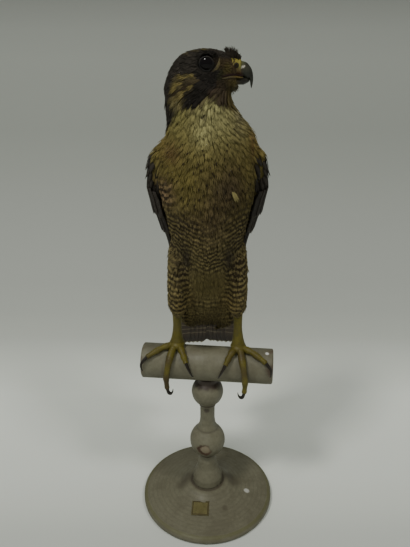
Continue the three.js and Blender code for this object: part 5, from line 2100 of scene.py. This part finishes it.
def claw(points):
    def place(t, c, s):
        middle, top, across = about_line(points, t)
        radius = 2.35 * (1 - t) ** 0.72 + 0.12
        keel = 1 + 0.18 * max(0, s) ** 2
        return middle + (top * s * keel + across * c * 0.8) * radius * MM

    return swept(18, 30, place)


def claw_tone(places):
    return mottled(places, (0.014, 0.011, 0.008), 0.6, 400)


LEG_SKIN = toned_material("leg_skin", 0.5, 0.05, 1100, 0.00022, 0.3)
PLATES = {"middle": 26, "outer": 20, "inner": 13, "hallux": 12}
for side, name in SIDES:
    for which, (toe, point) in TOES.items():
        scaly = make_toe(toe_line(side, toe), PLATES[which])
        painted(f"toe_{which}_{name}", scaly, leg_tone, LEG_SKIN, "leg_skin", [f"toe_{name}_{which}"])
        horny = claw(toe_line(side, point))
        painted(f"claw_{which}_{name}", horny, claw_tone, HORN, "claw_horn", [f"claw_{name}_{which}"])


# %% The shanks
def lattice(round_it, along, size):
    """Height of rounded six-sided scales on an unrolled surface: 0 in the furrows to 1."""
    rows = size * 0.866
    best = second = 9.0
    row = math.floor(along / rows)
    for j in (row - 1, row, row + 1, row + 2):
        start = round_it - (size / 2 if j % 2 else 0)
        column = math.floor(start / size)
        for i in (column, column + 1):
            centre_x = i * size + (size / 2 if j % 2 else 0) + 0.18 * size * math.sin(12.9 * i + 7.3 * j)
            centre_y = j * rows + 0.18 * size * math.sin(4.1 * i + 11.7 * j)
            off = math.hypot(round_it - centre_x, along - centre_y)
            if off < best:
                best, second = off, best
            elif off < second:
                second = off
    return min(1, (second - best) / (0.45 * size))


def shank(side):
    foot = on_bar(side * STANCE * MM, 0, 5 * MM)
    top = Vector((side * ANKLE[0], ANKLE[1], ANKLE[2] + 14)) * MM
    middle = Vector((side * ANKLE[0] * MM, (top.y + foot.y) / 2 - 1 * MM, (top.z + foot.z) / 2))
    points = [top, middle, foot]
    length = (top - foot).length / MM

    def place(t, c, s):
        centre, way = spline(points, t)
        across = Vector((1, 0, 0))
        front = way.cross(across).normalized()
        spread = max(0, (t - 0.45) / 0.55) ** 1.7
        radius = 4.5 + 1.3 * (1 - t) ** 4 + 2.2 * spread
        angle = math.atan2(s, c)
        scales = lattice(angle * 5.3, t * length, 2.1) ** 0.5 - 0.6
        out = across * c * (1 + 0.3 * spread) + front * s * (1 + 0.35 * spread)
        return centre + out * (radius + 0.3 * scales) * MM

    return swept(110, 120, place)


def foot_pad(side):
    """The palm, which the four toes leave: a scaly cushion on the bar."""
    bm = bmesh.new()
    bmesh.ops.create_icosphere(bm, subdivisions=5, radius=1)
    foot = on_bar(side * STANCE * MM, 0, 5 * MM)
    for vert in bm.verts:
        x, y, z = vert.co
        scales = lattice(math.atan2(y, x) * 8, z * 9, 2.2) ** 0.5 - 0.6
        size = Vector((8.4, 9.0, 5.6)) * (1 + 0.028 * scales)
        vert.co = foot + Vector((x * size.x, y * size.y - 2, z * size.z - 1.2)) * MM
    return bm


for side, name in SIDES:
    painted("bare_shank_" + name, shank(side), leg_tone, LEG_SKIN, "leg_skin", ["shank_" + name])
    painted("palm_" + name, foot_pad(side), leg_tone, LEG_SKIN, "leg_skin")
